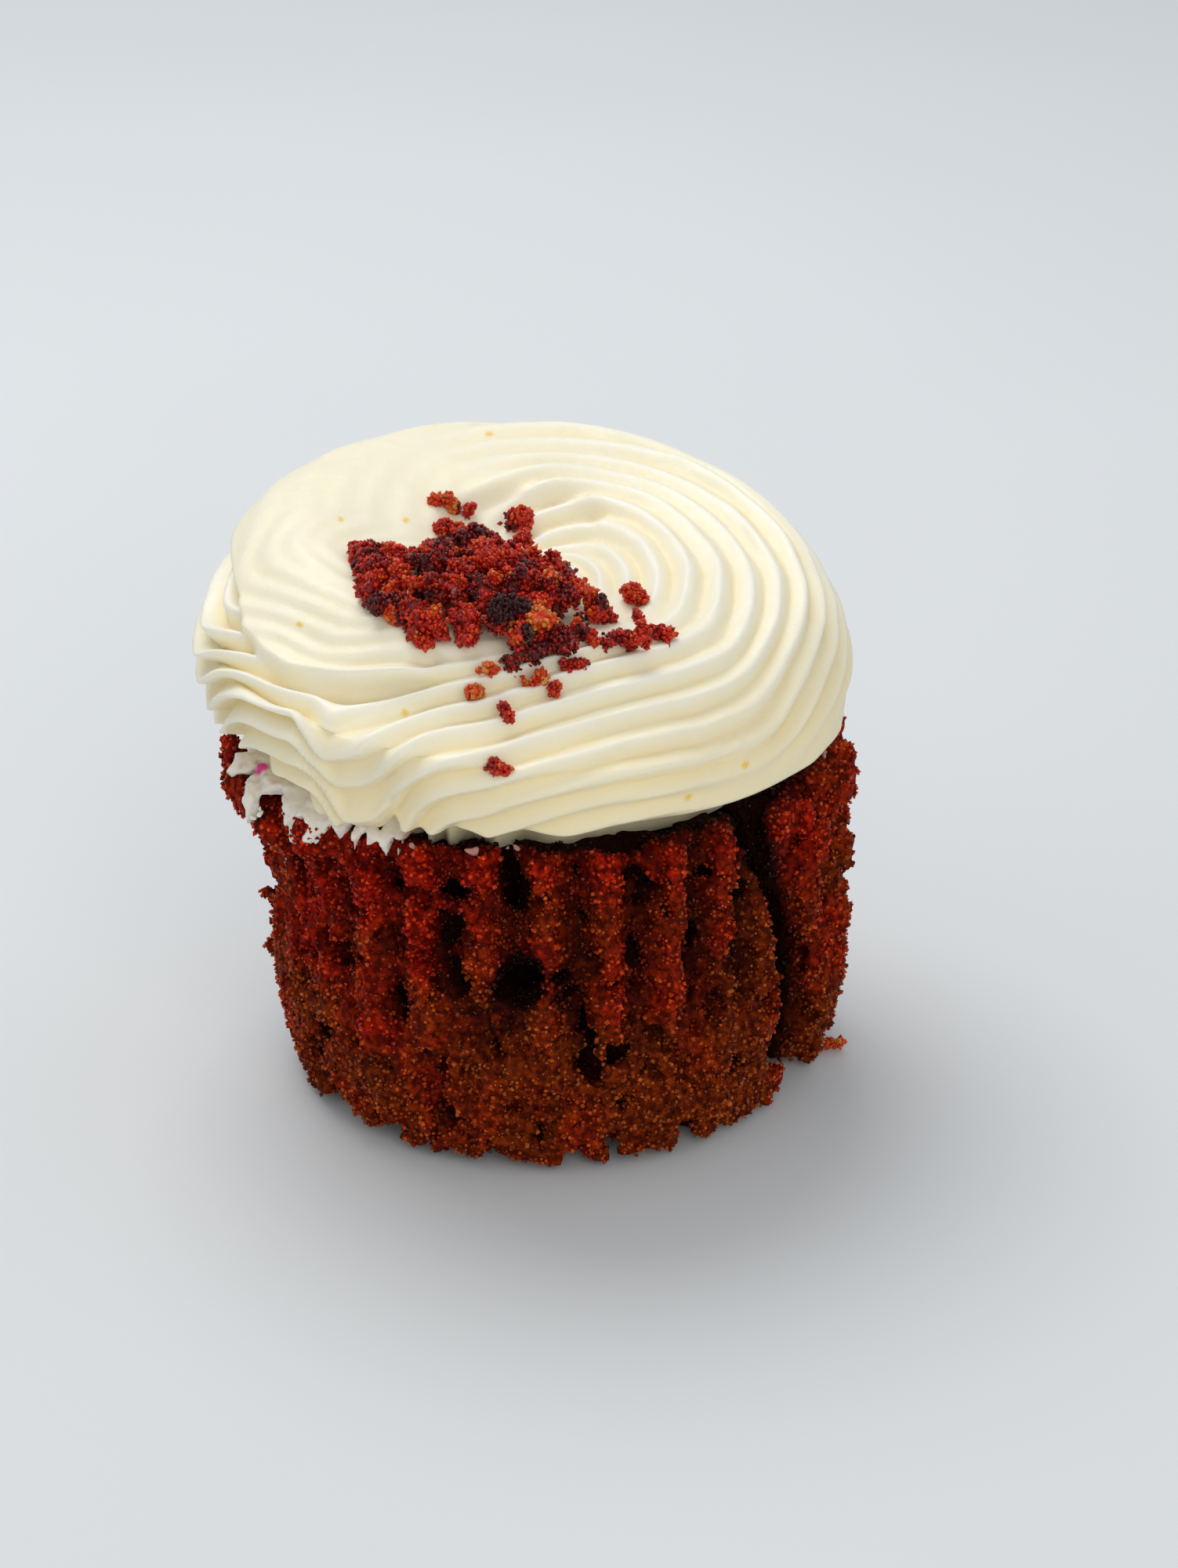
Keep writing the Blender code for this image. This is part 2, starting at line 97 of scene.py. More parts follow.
# Crumb heap, as in the CAD, with the places of its clumps of note
SPECKS = [(312.0, 3.7, 0.55), (300.5, 1.9, 0.5), (176.5, 27.9, 0.6), (162.0, 33.9, 0.65), (100.0, 25.5, 0.5),
          (60.5, 35.9, 0.5), (216.5, 19.5, 0.5), (233.5, 15.5, 0.85), (247.0, 15.9, 0.4)]   # angle, arc, size in mm
HEAP_X = -6.3 * MM
HEAP_Y = -13.0 * MM
HEAP_RADIUS = 11.2 * MM
HEAP_HEIGHT = 4.2 * MM
HEAP_CLUMPS = 290
HEAP_GAPS = [(-13.2 * MM, -11.2 * MM, 1.7 * MM), (-16.9 * MM, -12.8 * MM, 1.2 * MM),   # x, y, radius
             (-4.6 * MM, -22.6 * MM, 1.6 * MM)]
HEAP_FEATURES = [(-2.9 * MM, -20.6 * MM, 2.6 * MM, 1.9 * MM, 0.02),                   # x, y, rise, size, tint
                 (-0.2 * MM, -20.0 * MM, 2.2 * MM, 1.6 * MM, 0.78),
                 (-2.6 * MM, -22.8 * MM, 0.9 * MM, 1.4 * MM, 0.42),
                 (-1.0 * MM, -21.9 * MM, 0.9 * MM, 1.3 * MM, 0.30),
                 (1.3 * MM, -20.0 * MM, 1.0 * MM, 1.4 * MM, 0.50),
                 (2.9 * MM, -19.6 * MM, 0.8 * MM, 1.2 * MM, 0.36),
                 (4.6 * MM, -19.2 * MM, 0.6 * MM, 0.9 * MM, 0.55),
                 (-6.9 * MM, -2.9 * MM, 2.3 * MM, 1.8 * MM, 0.45),
                 (-4.8 * MM, -3.0 * MM, 1.9 * MM, 1.2 * MM, 0.40),
                 (-1.9 * MM, -4.6 * MM, 3.0 * MM, 0.8 * MM, 0.60),
                 (-1.6 * MM, -5.6 * MM, 1.4 * MM, 1.0 * MM, 0.48),
                 (-1.3 * MM, -6.9 * MM, 0.8 * MM, 1.0 * MM, 0.40)]

# Crumbs by themselves: angle, arc length up from the frosting's edge, length and height in mm, tint
SMEARS = [(194, 5.2, 0.9), (203, 8.2, 1.3), (213.5, 6.8, 1.0), (217, 6.0, 1.4), (220.5, 7.0, 1.1), (224.5, 5.6, 1.2),
          (231, 6.4, 2.4), (233.5, 5.6, 2.6), (236, 5.5, 2.4), (238.5, 5.0, 2.4)]      # angle, reach and slope
FLECKS = [(207.5, 33.4, 0.3, 3), (205.8, 32.6, 0.3, 3), (242, 34.6, 0.9, 8), (254.5, 34.7, 1.1, 9), (263, 34.8, 0.8, 6),
          (5.5, 34.0, 0.7, 7), (352, 34.6, 0.5, 5)]   # angle, height in mm, half-length in mm, count
STAINS = {"magenta": (-27.3 * MM, -9.4 * MM, 35.7 * MM), "orange": (-20.6 * MM, -20.2 * MM, 34.8 * MM)}

LOOSE_CRUMBS = [
    (131, 36.5, 3.4, 1.2, 0.60), (157, 38, 2.2, 1.5, 0.66), (150, 39, 1.4, 1.2, 0.6),
    (99, 41, 2.4, 1.9, 0.55), (302, 34, 1.7, 1.5, 0.5),
    (230, 25, 1.4, 1.3, 0.55), (239, 24, 2.0, 1.2, 0.55), (249.0, 22.9, 3.4, 1.5, 0.66),
    (261.0, 17.8, 2.2, 1.5, 0.80), (274, 17, 2.2, 1.1, 0.66), (281, 18, 1.3, 1.2, 0.6),
    (266.5, 14, 0.9, 1.3, 0.6), (266, 9, 1.1, 1.1, 0.62), (297, 23.5, 2.4, 0.9, 0.7),
    (316, 25, 1.8, 1.8, 0.62), (307, 22, 0.6, 0.5, 0.66), (296, 18, 2.9, 2.2, 0.62), (306.5, 18, 1.7, 1.8, 0.56),
]


# Crumb on the ground beside the cake: centre, half-size and tint
FOOT_CRUMB = ((29.2 * MM, -0.4 * MM, 0.9 * MM), np.array([1.4, 0.5, 0.3]) * MM, 0.80)


# ---------------------------------------------------------------- shared curves and noise

def wave(angle, mean, sin1=0.0, cos1=0.0, sin2=0.0, cos2=0.0):
    """A length in millimetres that varies round the cupcake, as two harmonics."""
    a = np.radians(angle)
    total = mean + sin1 * np.sin(a) + cos1 * np.cos(a) + sin2 * np.sin(2 * a) + cos2 * np.cos(2 * a)
    return total * MM


def turn(angle, centre):
    """Signed angle from centre to angle, between -180 and 180."""
    return (np.asarray(angle) - centre + 180.0) % 360.0 - 180.0


def step(x, low, high):
    """Smooth rise from 0 at low to 1 at high."""
    t = np.clip((np.asarray(x, float) - low) / (high - low), 0.0, 1.0)
    return t * t * (3.0 - 2.0 * t)


def bell(x, width):
    """Smooth bump of height 1 about 0."""
    return np.exp(-(np.asarray(x) / width) ** 2)


def sector(angle, begin, full, fade, end):
    """1 from the angle full round to fade, falling to 0 at begin and at end."""
    t = (np.asarray(angle, float) - begin) % 360.0
    return step(t, 0, full - begin) * (1 - step(t, fade - begin, end - begin))


def noise(points, size, seed):
    """Smooth random field from -1 to 1 with bumps of the given size."""
    cells = 64
    table = np.random.default_rng(seed).uniform(-1, 1, (cells, cells, cells)).astype(np.float32)
    p = np.asarray(points) / size + 17.3
    base = np.floor(p).astype(np.int64)
    f = (p - base).astype(np.float32)
    f = f * f * (3 - 2 * f)
    total = np.zeros(p.shape[:-1], np.float32)
    for dx in (0, 1):
        wx = f[..., 0] if dx else 1 - f[..., 0]
        for dy in (0, 1):
            wy = f[..., 1] if dy else 1 - f[..., 1]
            for dz in (0, 1):
                wz = f[..., 2] if dz else 1 - f[..., 2]
                corner = table[(base[..., 0] + dx) % cells, (base[..., 1] + dy) % cells,
                               (base[..., 2] + dz) % cells]
                total += wx * wy * wz * corner
    return total


# ---------------------------------------------------------------- frosting surface

def outline(angle):
    """Radius and height of the smooth swirl at seven stations, centre to lower edge."""
    one = np.ones_like(np.asarray(angle, float))
    radius = [0 * one, 6 * MM * one, 12 * MM * one, 21 * MM * one, 27.2 * MM * one,
              wave(angle, 31.4, -0.2, -0.1, 1.2, -0.4), wave(angle, 29.6, 0.6, 0.6, -0.3, 0.5)]
    height = [EYE_HEIGHT * one, (EYE_HEIGHT + 0.3 * MM) * one, wave(angle, 55.0, 1.5, -0.3),
              wave(angle, 55.3, 2.0, -2.0), wave(angle, 52.8, 4.4, -1.7),
              wave(angle, 45.9, 0.5, -1.9, 0.9, -0.3), wave(angle, 37.7, -0.5, 0.0, -0.4, 0.2)]
    return np.stack(radius, -1), np.stack(height, -1)


def arc_total(angle):
    radius, height = outline(angle)
    return np.hypot(np.diff(radius, axis=-1), np.diff(height, axis=-1)).sum(-1)


def smooth_swirl(angle, arc):
    """Point (radius, height) at a given arc length up from the lower edge."""
    radius, height = outline(angle)
    radius = radius[..., ::-1]
    height = height[..., ::-1]
    hops = np.hypot(np.diff(radius, axis=-1), np.diff(height, axis=-1))
    knots = np.concatenate([np.zeros_like(hops[..., :1]), np.cumsum(hops, -1)], -1)
    span = np.clip((knots[..., 1:] <= arc[..., None]).sum(-1), 0, hops.shape[-1] - 1)

    def pick(values, index):
        return np.take_along_axis(values, index[..., None], -1)[..., 0]

    def slope(values, index):
        before = np.clip(index - 1, 0, None)
        after = np.clip(index + 1, None, hops.shape[-1])
        return (pick(values, after) - pick(values, before)) / (pick(knots, after) - pick(knots, before))

    length = pick(hops, span)
    t = np.clip((arc - pick(knots, span)) / length, 0.0, 1.0)
    point = []
    for values in (radius, height):
        point.append((2 * t ** 3 - 3 * t ** 2 + 1) * pick(values, span)
                     + (t ** 3 - 2 * t ** 2 + t) * length * slope(values, span)
                     + (3 * t ** 2 - 2 * t ** 3) * pick(values, span + 1)
                     + (t ** 3 - t ** 2) * length * slope(values, span + 1))
    return point


def ridge_course(angle, arc):
    """Arc length of the reference ridge: it winds inwards, and kinks at the front left."""
    turned = (np.asarray(angle, float) - SEAM_ANGLE) % 360.0
    winding = RIDGES_A_TURN * RIDGE_PITCH * turned / 360 + 3.0 * MM * np.sin(np.radians(angle - 345.0))
    climb = 5.6 * sector(angle, 190, 219, 268, 325) + 3.0 * sector(angle, 226, 256, 268, 325)
    climb = climb * (1 - step(arc, 12 * MM, 31 * MM)) + 1.7 * sector(angle, 110, 160, 222, 250)
    kink = sector(angle, KINK_ANGLE - 9.5, KINK_ANGLE - 1.5, KINK_ANGLE + 3, KINK_ANGLE + 20.5)
    kink = kink * (1 - step(arc, 7.5 * MM, 19 * MM))
    return START_ARC + winding + climb * MM - 5.3 * MM * kink


def ridge_phase(angle, arc):
    """Number of ridges passed since the reference ridge, whole numbers on the crests."""
    above = arc - ridge_course(angle, arc)
    tight = sector(angle, 258, 300, 350, 480)
    narrow = 0.75 * MM * sector(angle, 168, 198, 224, 244)
    outer = RIDGE_PITCH + 0.3 * MM * bell(turn(angle, 255), 9) - 0.85 * MM * tight - narrow
    inner = RIDGE_PITCH - 0.35 * MM * tight - narrow
    return above / np.where(above < 0, outer, inner)


def edge_arc(angle):
    """Arc length at which the frosting ends below: 0, but more where the rope lifts at the left."""
    lift = 2.6 * sector(angle, 185, 196, 218, 233) + 0.8 * sector(angle, 203, 210, 216, 226)
    return (lift + 1.7 * bell(turn(angle, 246), 2.6)) * MM


def layer_edge(angle):
    """Arc length of the edge between the rope's lower turn and its upper turn."""
    return (16.4 - 1.1 * sector(angle, 196, 207, 221, 229) + 2.5 * sector(angle, 226, 248, 300, 330)) * MM


def left_side(angle):
    """1 where the ridges of the lower turn stand out most."""
    return sector(angle, 110, 150, 226, 240)


def ridge_height(angle, arc):
    """Half-height of the ridges: deep below, faint on the smooth parts of the upper turn."""
    lower = 0.52 + 0.52 * left_side(angle) + 0.14 * bell(turn(angle, 258), 30)
    upper = 0.06 + 0.52 * sector(angle, 304, 324, 430, 480) + 0.05 * sector(angle, 130, 190, 235, 262)
    below = layer_edge(angle) - arc
    rise = 1 - step(below, (2.6 * left_side(angle) - 3.2) * MM, 0.6 * MM)
    tucked = 0.30 * left_side(angle) * (1 - step(below, 0.5 * MM, 4.0 * MM))
    plain_foot = 0.8 * sector(angle, 285, 315, 390, 430) * (1 - step(arc, 2 * MM, 5 * MM))
    return (lower + (upper - lower) * rise) * (1 - plain_foot) * (1 - tucked) * MM


def layer_relief(angle, arc):
    """Lip of the rope's upper turn at the left, which hangs over the ridges of the lower turn."""
    above = (arc - layer_edge(angle)) / MM
    lip = step(above, -0.35, 0.45)
    profile = 0.8 * np.exp(-np.abs(above) / 7) * lip - 1.25 * np.exp(-np.abs(above) / 6) * (1 - lip)
    return sector(angle, 120, 165, 240, 256) * profile * MM


def eye_depth(angle, arc):
    """How far the inner coil lies below the coil round it; deepest at the back."""
    border = np.minimum(ridge_course(angle, arc) + 9.1 * MM, 36.8 * MM)
    inside = step(arc, border - 1.3 * MM, border + 1.1 * MM)
    return inside * EYE_SINK * (0.35 + 0.65 * sector(angle, 0, 60, 125, 160)) * sector(angle, 296, 318, 490, 530)


def cusp(phase, roundness=0.0):
    """Ridge section from -1 in the valley to +1 on the crest, which is sharp unless rounded."""
    x = 2 * np.abs(phase - np.round(phase))
    soft = np.sqrt(x * x + 0.05) - 0.22
    sharp = 2 * np.clip(1 - soft, 0, 1) ** 1.5 - 1
    return sharp + (np.cos(math.pi * x) - sharp) * roundness


def pit(angle, arc, at_angle, at_arc, half_width, half_height, depth):
    """Small rounded hollow, its centre given by angle and arc length."""
    across = turn(angle, at_angle) / 180 * math.pi * 28 * MM / half_width
    up = (arc - at_arc) / half_height
    return -depth * np.exp(-(across ** 2 + up ** 2) ** 1.5)


def swirl_relief(angle, arc, x, y):
    """Height of the ridges and details over the smooth swirl, and the ridge section's share."""
    here = np.stack([x, y, arc], -1)
    sway = 0.09 * noise(here, 9 * MM, 11) + 0.04 * noise(here, 3.5 * MM, 12)
    right = sector(angle, 290, 330, 400, 460)
    section = cusp(ridge_phase(angle, arc) + sway, 0.5 * left_side(angle) + 0.15 * right)
    uneven = 1 + 0.30 * noise(here, 7 * MM, 13)
    height = ridge_height(angle, arc)
    relief = height * uneven * section
    grooves = cusp(3.0 * ridge_phase(angle, arc) + 0.6 * noise(here, 6 * MM, 17), 0.5)
    relief += 0.10 * height * grooves * (0.6 + 0.6 * noise(here, 5 * MM, 18))
    relief *= step(arc_total(angle) - arc, 0.3 * MM, 4 * MM)
    relief += layer_relief(angle, arc)
    relief -= eye_depth(angle, arc)
    relief += pit(angle, arc, 248.0, 20.9 * MM, 1.5 * MM, 1.0 * MM, 0.9 * MM)
    relief += pit(angle, arc, 272.0, 17.8 * MM, 1.4 * MM, 0.7 * MM, 0.7 * MM)
    cracked = bell(turn(angle, 307.5) / 180 * math.pi * 29 * MM, 2.6 * MM) * bell(arc - 5.3 * MM, 2.2 * MM)
    relief += cracked * 0.35 * MM * (noise(here, 0.9 * MM, 14) - 0.3)
    relief += 0.10 * MM * noise(here, 4 * MM, 15) + 0.03 * MM * noise(here, 1.3 * MM, 16)
    return relief, section * height / MM


def frosting_point(angle, arc):
    """Points of the finished top surface of the frosting, and how high each lies on a ridge."""
    nudge = 0.05 * MM
    radius, height = smooth_swirl(angle, arc)
    radius2, height2 = smooth_swirl(angle, arc + nudge)
    length = np.hypot(radius2 - radius, height2 - height) + 1e-12
    out_r = (height2 - height) / length
    out_z = -(radius2 - radius) / length
    cos_a = np.cos(np.radians(angle))
    sin_a = np.sin(np.radians(angle))
    relief, section = swirl_relief(angle, arc, SWIRL_X + radius * cos_a, radius * sin_a)
    sag = sector(angle, 223, 236, 243, 256) * (1 - step(arc, 0, 5 * MM))
    radius = radius + relief * out_r + 0.7 * MM * sag
    height = height + relief * out_z - 1.1 * MM * sag
    point = np.stack([SWIRL_X + radius * cos_a, radius * sin_a, height], -1)
    return point, section


# ---------------------------------------------------------------- mesh helpers

def mesh_object(name, points, faces, attributes=None, smooth=True):
    """Mesh object from arrays; faces is a list of (n, k) index arrays."""
    points = np.asarray(points, np.float32)
    mesh = bpy.data.meshes.new(name)
    counts = np.concatenate([np.full(len(block), block.shape[1]) for block in faces])
    loops = np.concatenate([block.ravel() for block in faces])
    mesh.vertices.add(len(points))
    mesh.vertices.foreach_set("co", points.ravel())
    mesh.loops.add(len(loops))
    mesh.loops.foreach_set("vertex_index", loops.astype(np.int32))
    mesh.polygons.add(len(counts))
    starts = np.concatenate([[0], np.cumsum(counts)[:-1]])
    mesh.polygons.foreach_set("loop_start", starts.astype(np.int32))
    mesh.update(calc_edges=True)
    mesh.validate()
    if smooth:
        mesh.shade_smooth()
    for key, values in (attributes or {}).items():
        layer = mesh.attributes.new(key, 'FLOAT', 'POINT')
        layer.data.foreach_set("value", np.asarray(values, np.float32))
    obj = bpy.data.objects.new(name, mesh)
    bpy.context.scene.collection.objects.link(obj)
    return obj


def ring_faces(columns, rows, start=0):
    """Quads of a closed tube of rings, each ring with the given number of columns."""
    i = np.arange(columns)
    j = (i + 1) % columns
    blocks = []
    for row in range(rows - 1):
        a = start + row * columns
        blocks.append(np.stack([a + i, a + j, a + columns + j, a + columns + i], -1))
    return np.concatenate(blocks)


def finish_piece(obj, material, replaced=()):
    obj.data.materials.append(material)
    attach(obj, "root")
    for node in replaced:
        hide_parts(node)


# ---------------------------------------------------------------- grain fields

class Field:
    """Voxel field over a box: positive inside the matter. Grains are added as balls."""

    def __init__(self, low, high, voxel):
        self.low = np.array(low, float)
        self.voxel = voxel
        self.shape = tuple(int(n) for n in np.ceil((np.array(high) - self.low) / voxel) + 1)
        self.values = np.full(self.shape, -2 * voxel, np.float32)

    def points(self):
        axes = [self.low[k] + self.voxel * np.arange(self.shape[k]) for k in range(3)]
        return np.stack(np.meshgrid(*axes, indexing='ij'), -1)

    def add_balls(self, centres, radii):
        cell = np.round((centres - self.low) / self.voxel).astype(int)
        reach = int(np.ceil(radii.max() / self.voxel)) + 1
        inside = np.all((cell > reach) & (cell < np.array(self.shape) - reach - 1), axis=1)
        cell = cell[inside]
        centres = centres[inside]
        radii = radii[inside]
        for dx in range(-reach, reach + 1):
            for dy in range(-reach, reach + 1):
                for dz in range(-reach, reach + 1):
                    target = cell + (dx, dy, dz)
                    apart = np.linalg.norm(self.low + target * self.voxel - centres, axis=1)
                    index = tuple(target.T)
                    self.values[index] = np.maximum(self.values[index], radii - apart)

    def soften(self, share=1.0):
        """Averages each voxel with its neighbours along the three axes, so grains fuse."""
        for axis in range(3):
            ahead = np.roll(self.values, 1, axis)
            behind = np.roll(self.values, -1, axis)
            self.values = self.values + share * (0.25 * (ahead + behind) - 0.5 * self.values)

    def surface(self):
        """Naive surface nets: one vertex for each crossed cell, one quad for each crossed edge."""
        f = self.values
        f[[0, -1]] = f[:, [0, -1]] = f[:, :, [0, -1]] = -self.voxel
        inside = f > 0
        nx, ny, nz = (n - 1 for n in f.shape)
        count = np.zeros((nx, ny, nz), np.int8)
        for dx in (0, 1):
            for dy in (0, 1):
                for dz in (0, 1):
                    count += inside[dx:nx + dx, dy:ny + dy, dz:nz + dz]
        cells = np.argwhere((count > 0) & (count < 8))
        number = np.full((nx, ny, nz), -1, np.int64)
        number[tuple(cells.T)] = np.arange(len(cells))
        total = np.zeros((len(cells), 3))
        hits = np.zeros(len(cells))
        for axis in range(3):
            side = [k for k in range(3) if k != axis]
            for a in (0, 1):
                for b in (0, 1):
                    start = cells.copy()
                    start[:, side[0]] += a
                    start[:, side[1]] += b
                    end = start.copy()
                    end[:, axis] += 1
                    f0 = f[tuple(start.T)]
                    f1 = f[tuple(end.T)]
                    crossed = (f0 > 0) != (f1 > 0)
                    t = np.where(crossed, f0 / np.where(crossed, f0 - f1, 1), 0)
                    place = start.astype(float)
                    place[:, axis] += t
                    total += place * crossed[:, None]
                    hits += crossed
        points = self.low + self.voxel * total / hits[:, None]
        quads = []
        for axis in range(3):
            side = [(axis + 1) % 3, (axis + 2) % 3]
            first = [slice(None)] * 3
            second = [slice(None)] * 3
            first[axis] = slice(0, -1)
            second[axis] = slice(1, None)
            a = inside[tuple(first)]
            b = inside[tuple(second)]
            edges = np.argwhere(a != b)
            keep = (edges[:, side[0]] > 0) & (edges[:, side[1]] > 0)
            edges = edges[keep]
            leaving = a[tuple(edges.T)]
            corners = []
            for du, dv in ((-1, -1), (0, -1), (0, 0), (-1, 0)):
                cell = edges.copy()
                cell[:, side[0]] += du
                cell[:, side[1]] += dv
                corners.append(number[tuple(cell.T)])
            quad = np.stack(corners, -1)
            quads.append(np.where(leaving[:, None], quad, quad[:, ::-1]))
        return points, np.concatenate(quads)


def drop_specks(points, quads, smallest):
    """Removes floating specks: connected parts with fewer vertices than smallest."""
    label = np.arange(len(points))
    edges = np.concatenate([quads[:, [0, 1]], quads[:, [1, 2]], quads[:, [2, 3]], quads[:, [3, 0]]])
    while True:
        low = np.minimum(label[edges[:, 0]], label[edges[:, 1]])
        before = label.copy()
        np.minimum.at(label, edges[:, 0], low)
        np.minimum.at(label, edges[:, 1], low)
        label = label[label]
        if np.array_equal(before, label):
            break
    sizes = np.bincount(label, minlength=len(points))
    keep = sizes[label] >= smallest
    renumber = np.cumsum(keep) - 1
    return points[keep], renumber[quads[keep[quads[:, 0]]]]


def scatter(rng, points, quads, count):
    """Random places on a mesh, evenly spread, and the outward normal at each."""
    triangles = np.concatenate([quads[:, [0, 1, 2]], quads[:, [0, 2, 3]]])
    a, b, c = (points[triangles[:, k]] for k in range(3))
    normals = np.cross(b - a, c - a)
    areas = np.linalg.norm(normals, axis=1)
    chosen = np.searchsorted(np.cumsum(areas), rng.uniform(0, areas.sum(), count))
    chosen = np.minimum(chosen, len(areas) - 1)
    u, v = rng.uniform(0, 1, (2, count, 1))
    u, v = np.where(u + v > 1, 1 - u, u), np.where(u + v > 1, 1 - v, v)
    places = a[chosen] + u * (b - a)[chosen] + v * (c - a)[chosen]
    return places, normals[chosen] / np.maximum(areas[chosen], 1e-12)[:, None]


def granules(rng, centres, radii):
    """Points and triangles of small uneven octahedra, one at each centre."""
    count = len(centres)
    spin = rng.normal(size=(2, count, 3))
    first = spin[0] / np.linalg.norm(spin[0], axis=1)[:, None]
    second = spin[1] - first * (spin[1] * first).sum(1)[:, None]
    second /= np.linalg.norm(second, axis=1)[:, None]
    third = np.cross(first, second)
    axes = np.stack([first, -first, second, -second, third, -third], 1)
    reach = radii[:, None] * rng.uniform(0.7, 1.3, (count, 6))
    points = (centres[:, None] + axes * reach[..., None]).reshape(-1, 3)
    corners = np.array([(0, 2, 4), (2, 1, 4), (1, 3, 4), (3, 0, 4), (2, 0, 5), (1, 2, 5), (3, 1, 5), (0, 3, 5)])
    return points, (corners[None] + 6 * np.arange(count)[:, None, None]).reshape(-1, 3)


# ---------------------------------------------------------------- frosting piece

def frosting_specks(angle, arc):
    """1 on the small yellow specks of unmixed butter, 0 elsewhere."""
    amount = np.zeros(np.shape(arc))
    for at_angle, at_arc, size in SPECKS:
        radius, _ = smooth_swirl(np.array([at_angle]), np.array([at_arc * MM]))
        across = np.radians(turn(angle, at_angle)) * radius[0]
        apart = np.hypot(across, (arc - at_arc * MM) * 1.4)
        amount = np.maximum(amount, 1 - step(apart, 0.5 * size * MM, size * MM))
    return amount


def build_frosting(material):
    columns = 600
    outer_rows = 92
    inner_rows = 52
    band = 23 * MM
    angles = np.arange(columns) * 360.0 / columns
    total = arc_total(angles)
    start = edge_arc(angles)
    arcs = [start + (band - start) * k / outer_rows for k in range(outer_rows)]
    arcs += [band + (total - band) * k / inner_rows for k in range(inner_rows)]
    arcs = np.stack(arcs)
    points, section = frosting_point(np.broadcast_to(angles, arcs.shape), arcs)
    edge = points[0]
    outward = (edge[:, :2] - [SWIRL_X, 0]) / np.linalg.norm(edge[:, :2] - [SWIRL_X, 0], axis=1)[:, None]
    under = []
    for share, rise in COVE:
        ring = edge.copy()
        ring[:, :2] -= outward * (LIP + 1.2 * np.abs(edge[:, 2:] - FROSTING_FLOOR)) * share
        ring[:, 2] = FROSTING_FLOOR + (edge[:, 2] - FROSTING_FLOOR) * rise
        under.append(ring)
    under[0][:, 2] = SPONGE_HEIGHT - SEAT
    rings = np.concatenate([np.stack(under), points])
    rows = len(rings)
    flat = rings.reshape(-1, 3)
    top = len(flat)
    peak, _ = frosting_point(np.array([0.0]), arc_total(np.array([0.0])) - 0.01 * MM)
    flat = np.concatenate([flat, [[SWIRL_X, 0, peak[0, 2]], [SWIRL_X, 0, SPONGE_HEIGHT - SEAT]]])
    i = np.arange(columns)
    j = (i + 1) % columns
    last = (rows - 1) * columns
    cap = np.stack([last + i, last + j, np.full(columns, top)], -1)
    floor = np.stack([j, i, np.full(columns, top + 1)], -1)
    looks = {}
    # The low attribute carries painted warm reflected light on the lower part of the frosting.
    for key, values in (("ridge", section), ("low", 1 - step(arcs, 1 * MM, 15 * MM)),
                        ("speck", frosting_specks(np.broadcast_to(angles, arcs.shape), arcs))):
        looks[key] = np.concatenate([np.full(len(under) * columns, values.ravel()[0]), values.ravel(), [0, 0]])
    piece = mesh_object("piped_frosting", flat, [ring_faces(columns, rows), cap, floor], looks)
    finish_piece(piece, material, ["frosting"])
    return piece


# ---------------------------------------------------------------- sponge piece

def crack_angle(share):
    """Angle of the crack's middle at a share of the sponge's height."""
    return CRACK_BASE_ANGLE + (CRACK_TOP_ANGLE - CRACK_BASE_ANGLE) * share


def sponge_radius(angle, height, fluted=True):
    """Radius of the sponge's side: taper, rounded edges, flutes, torn flap and proud lobe.

    Without flutes it is the envelope on which the flutes' crests lie."""
    radius = BASE_RADIUS + (BODY_RADIUS - BASE_RADIUS) * step(height, -0.4 * TAPER_HEIGHT, TAPER_HEIGHT)
    toe = 1 - np.clip(height / TOE_HEIGHT, 0, 1)
    radius -= TOE_HEIGHT * 0.8 * (1 - np.sqrt(1 - toe * toe))
    shoulder = np.clip(1 - (SPONGE_HEIGHT - height) / SHOULDER_HEIGHT, 0, 1)
    radius -= SHOULDER_HEIGHT * (1 - np.sqrt(1 - shoulder * shoulder))
    strength = (0.15 + 0.85 * step(height, 10 * MM, 19 * MM)) * step(height, 0, TOE_HEIGHT)
    strength = strength * (1 - 0.75 * bell(turn(angle, 195), 42))
    radius += FLUTE_CREST * strength
    if fluted:
        wander = 4.0 * np.sin(np.radians(angle) * 3 + 1.1) + 2.5 * np.sin(np.radians(angle) * 7)
        fold = (0.5 + 0.5 * np.cos(np.radians(angle * FLUTES + wander))) ** 1.5
        radius -= (FLUTE_CREST + FLUTE_GROOVE) * (1 - fold) * strength
    flap = bell(turn(angle, FLAP_ANGLE), FLAP_SPREAD) * step(height, FLAP_FOOT, FLAP_FOOT + 6 * MM)
    radius += flap * FLAP_REACH
    lobe_begin = crack_angle(height / SPONGE_HEIGHT)
    turned = (angle - lobe_begin) % 360.0
    lobe = step(turned, 0, 6) * (1 - step(turned, LOBE_END - 25 - lobe_begin, LOBE_END - lobe_begin))
    radius += lobe * LOBE_REACH
    return radius


def side_depth(points):
    """Depth under the sponge's outer skin, positive inside."""
    x = points[..., 0]
    y = points[..., 1]
    z = points[..., 2]
    angle = np.degrees(np.arctan2(y, x))
    radial = np.hypot(x, y)
    depth = sponge_radius(angle, z) - radial
    return np.minimum(depth, np.minimum(z, SPONGE_HEIGHT - z)), angle, radial


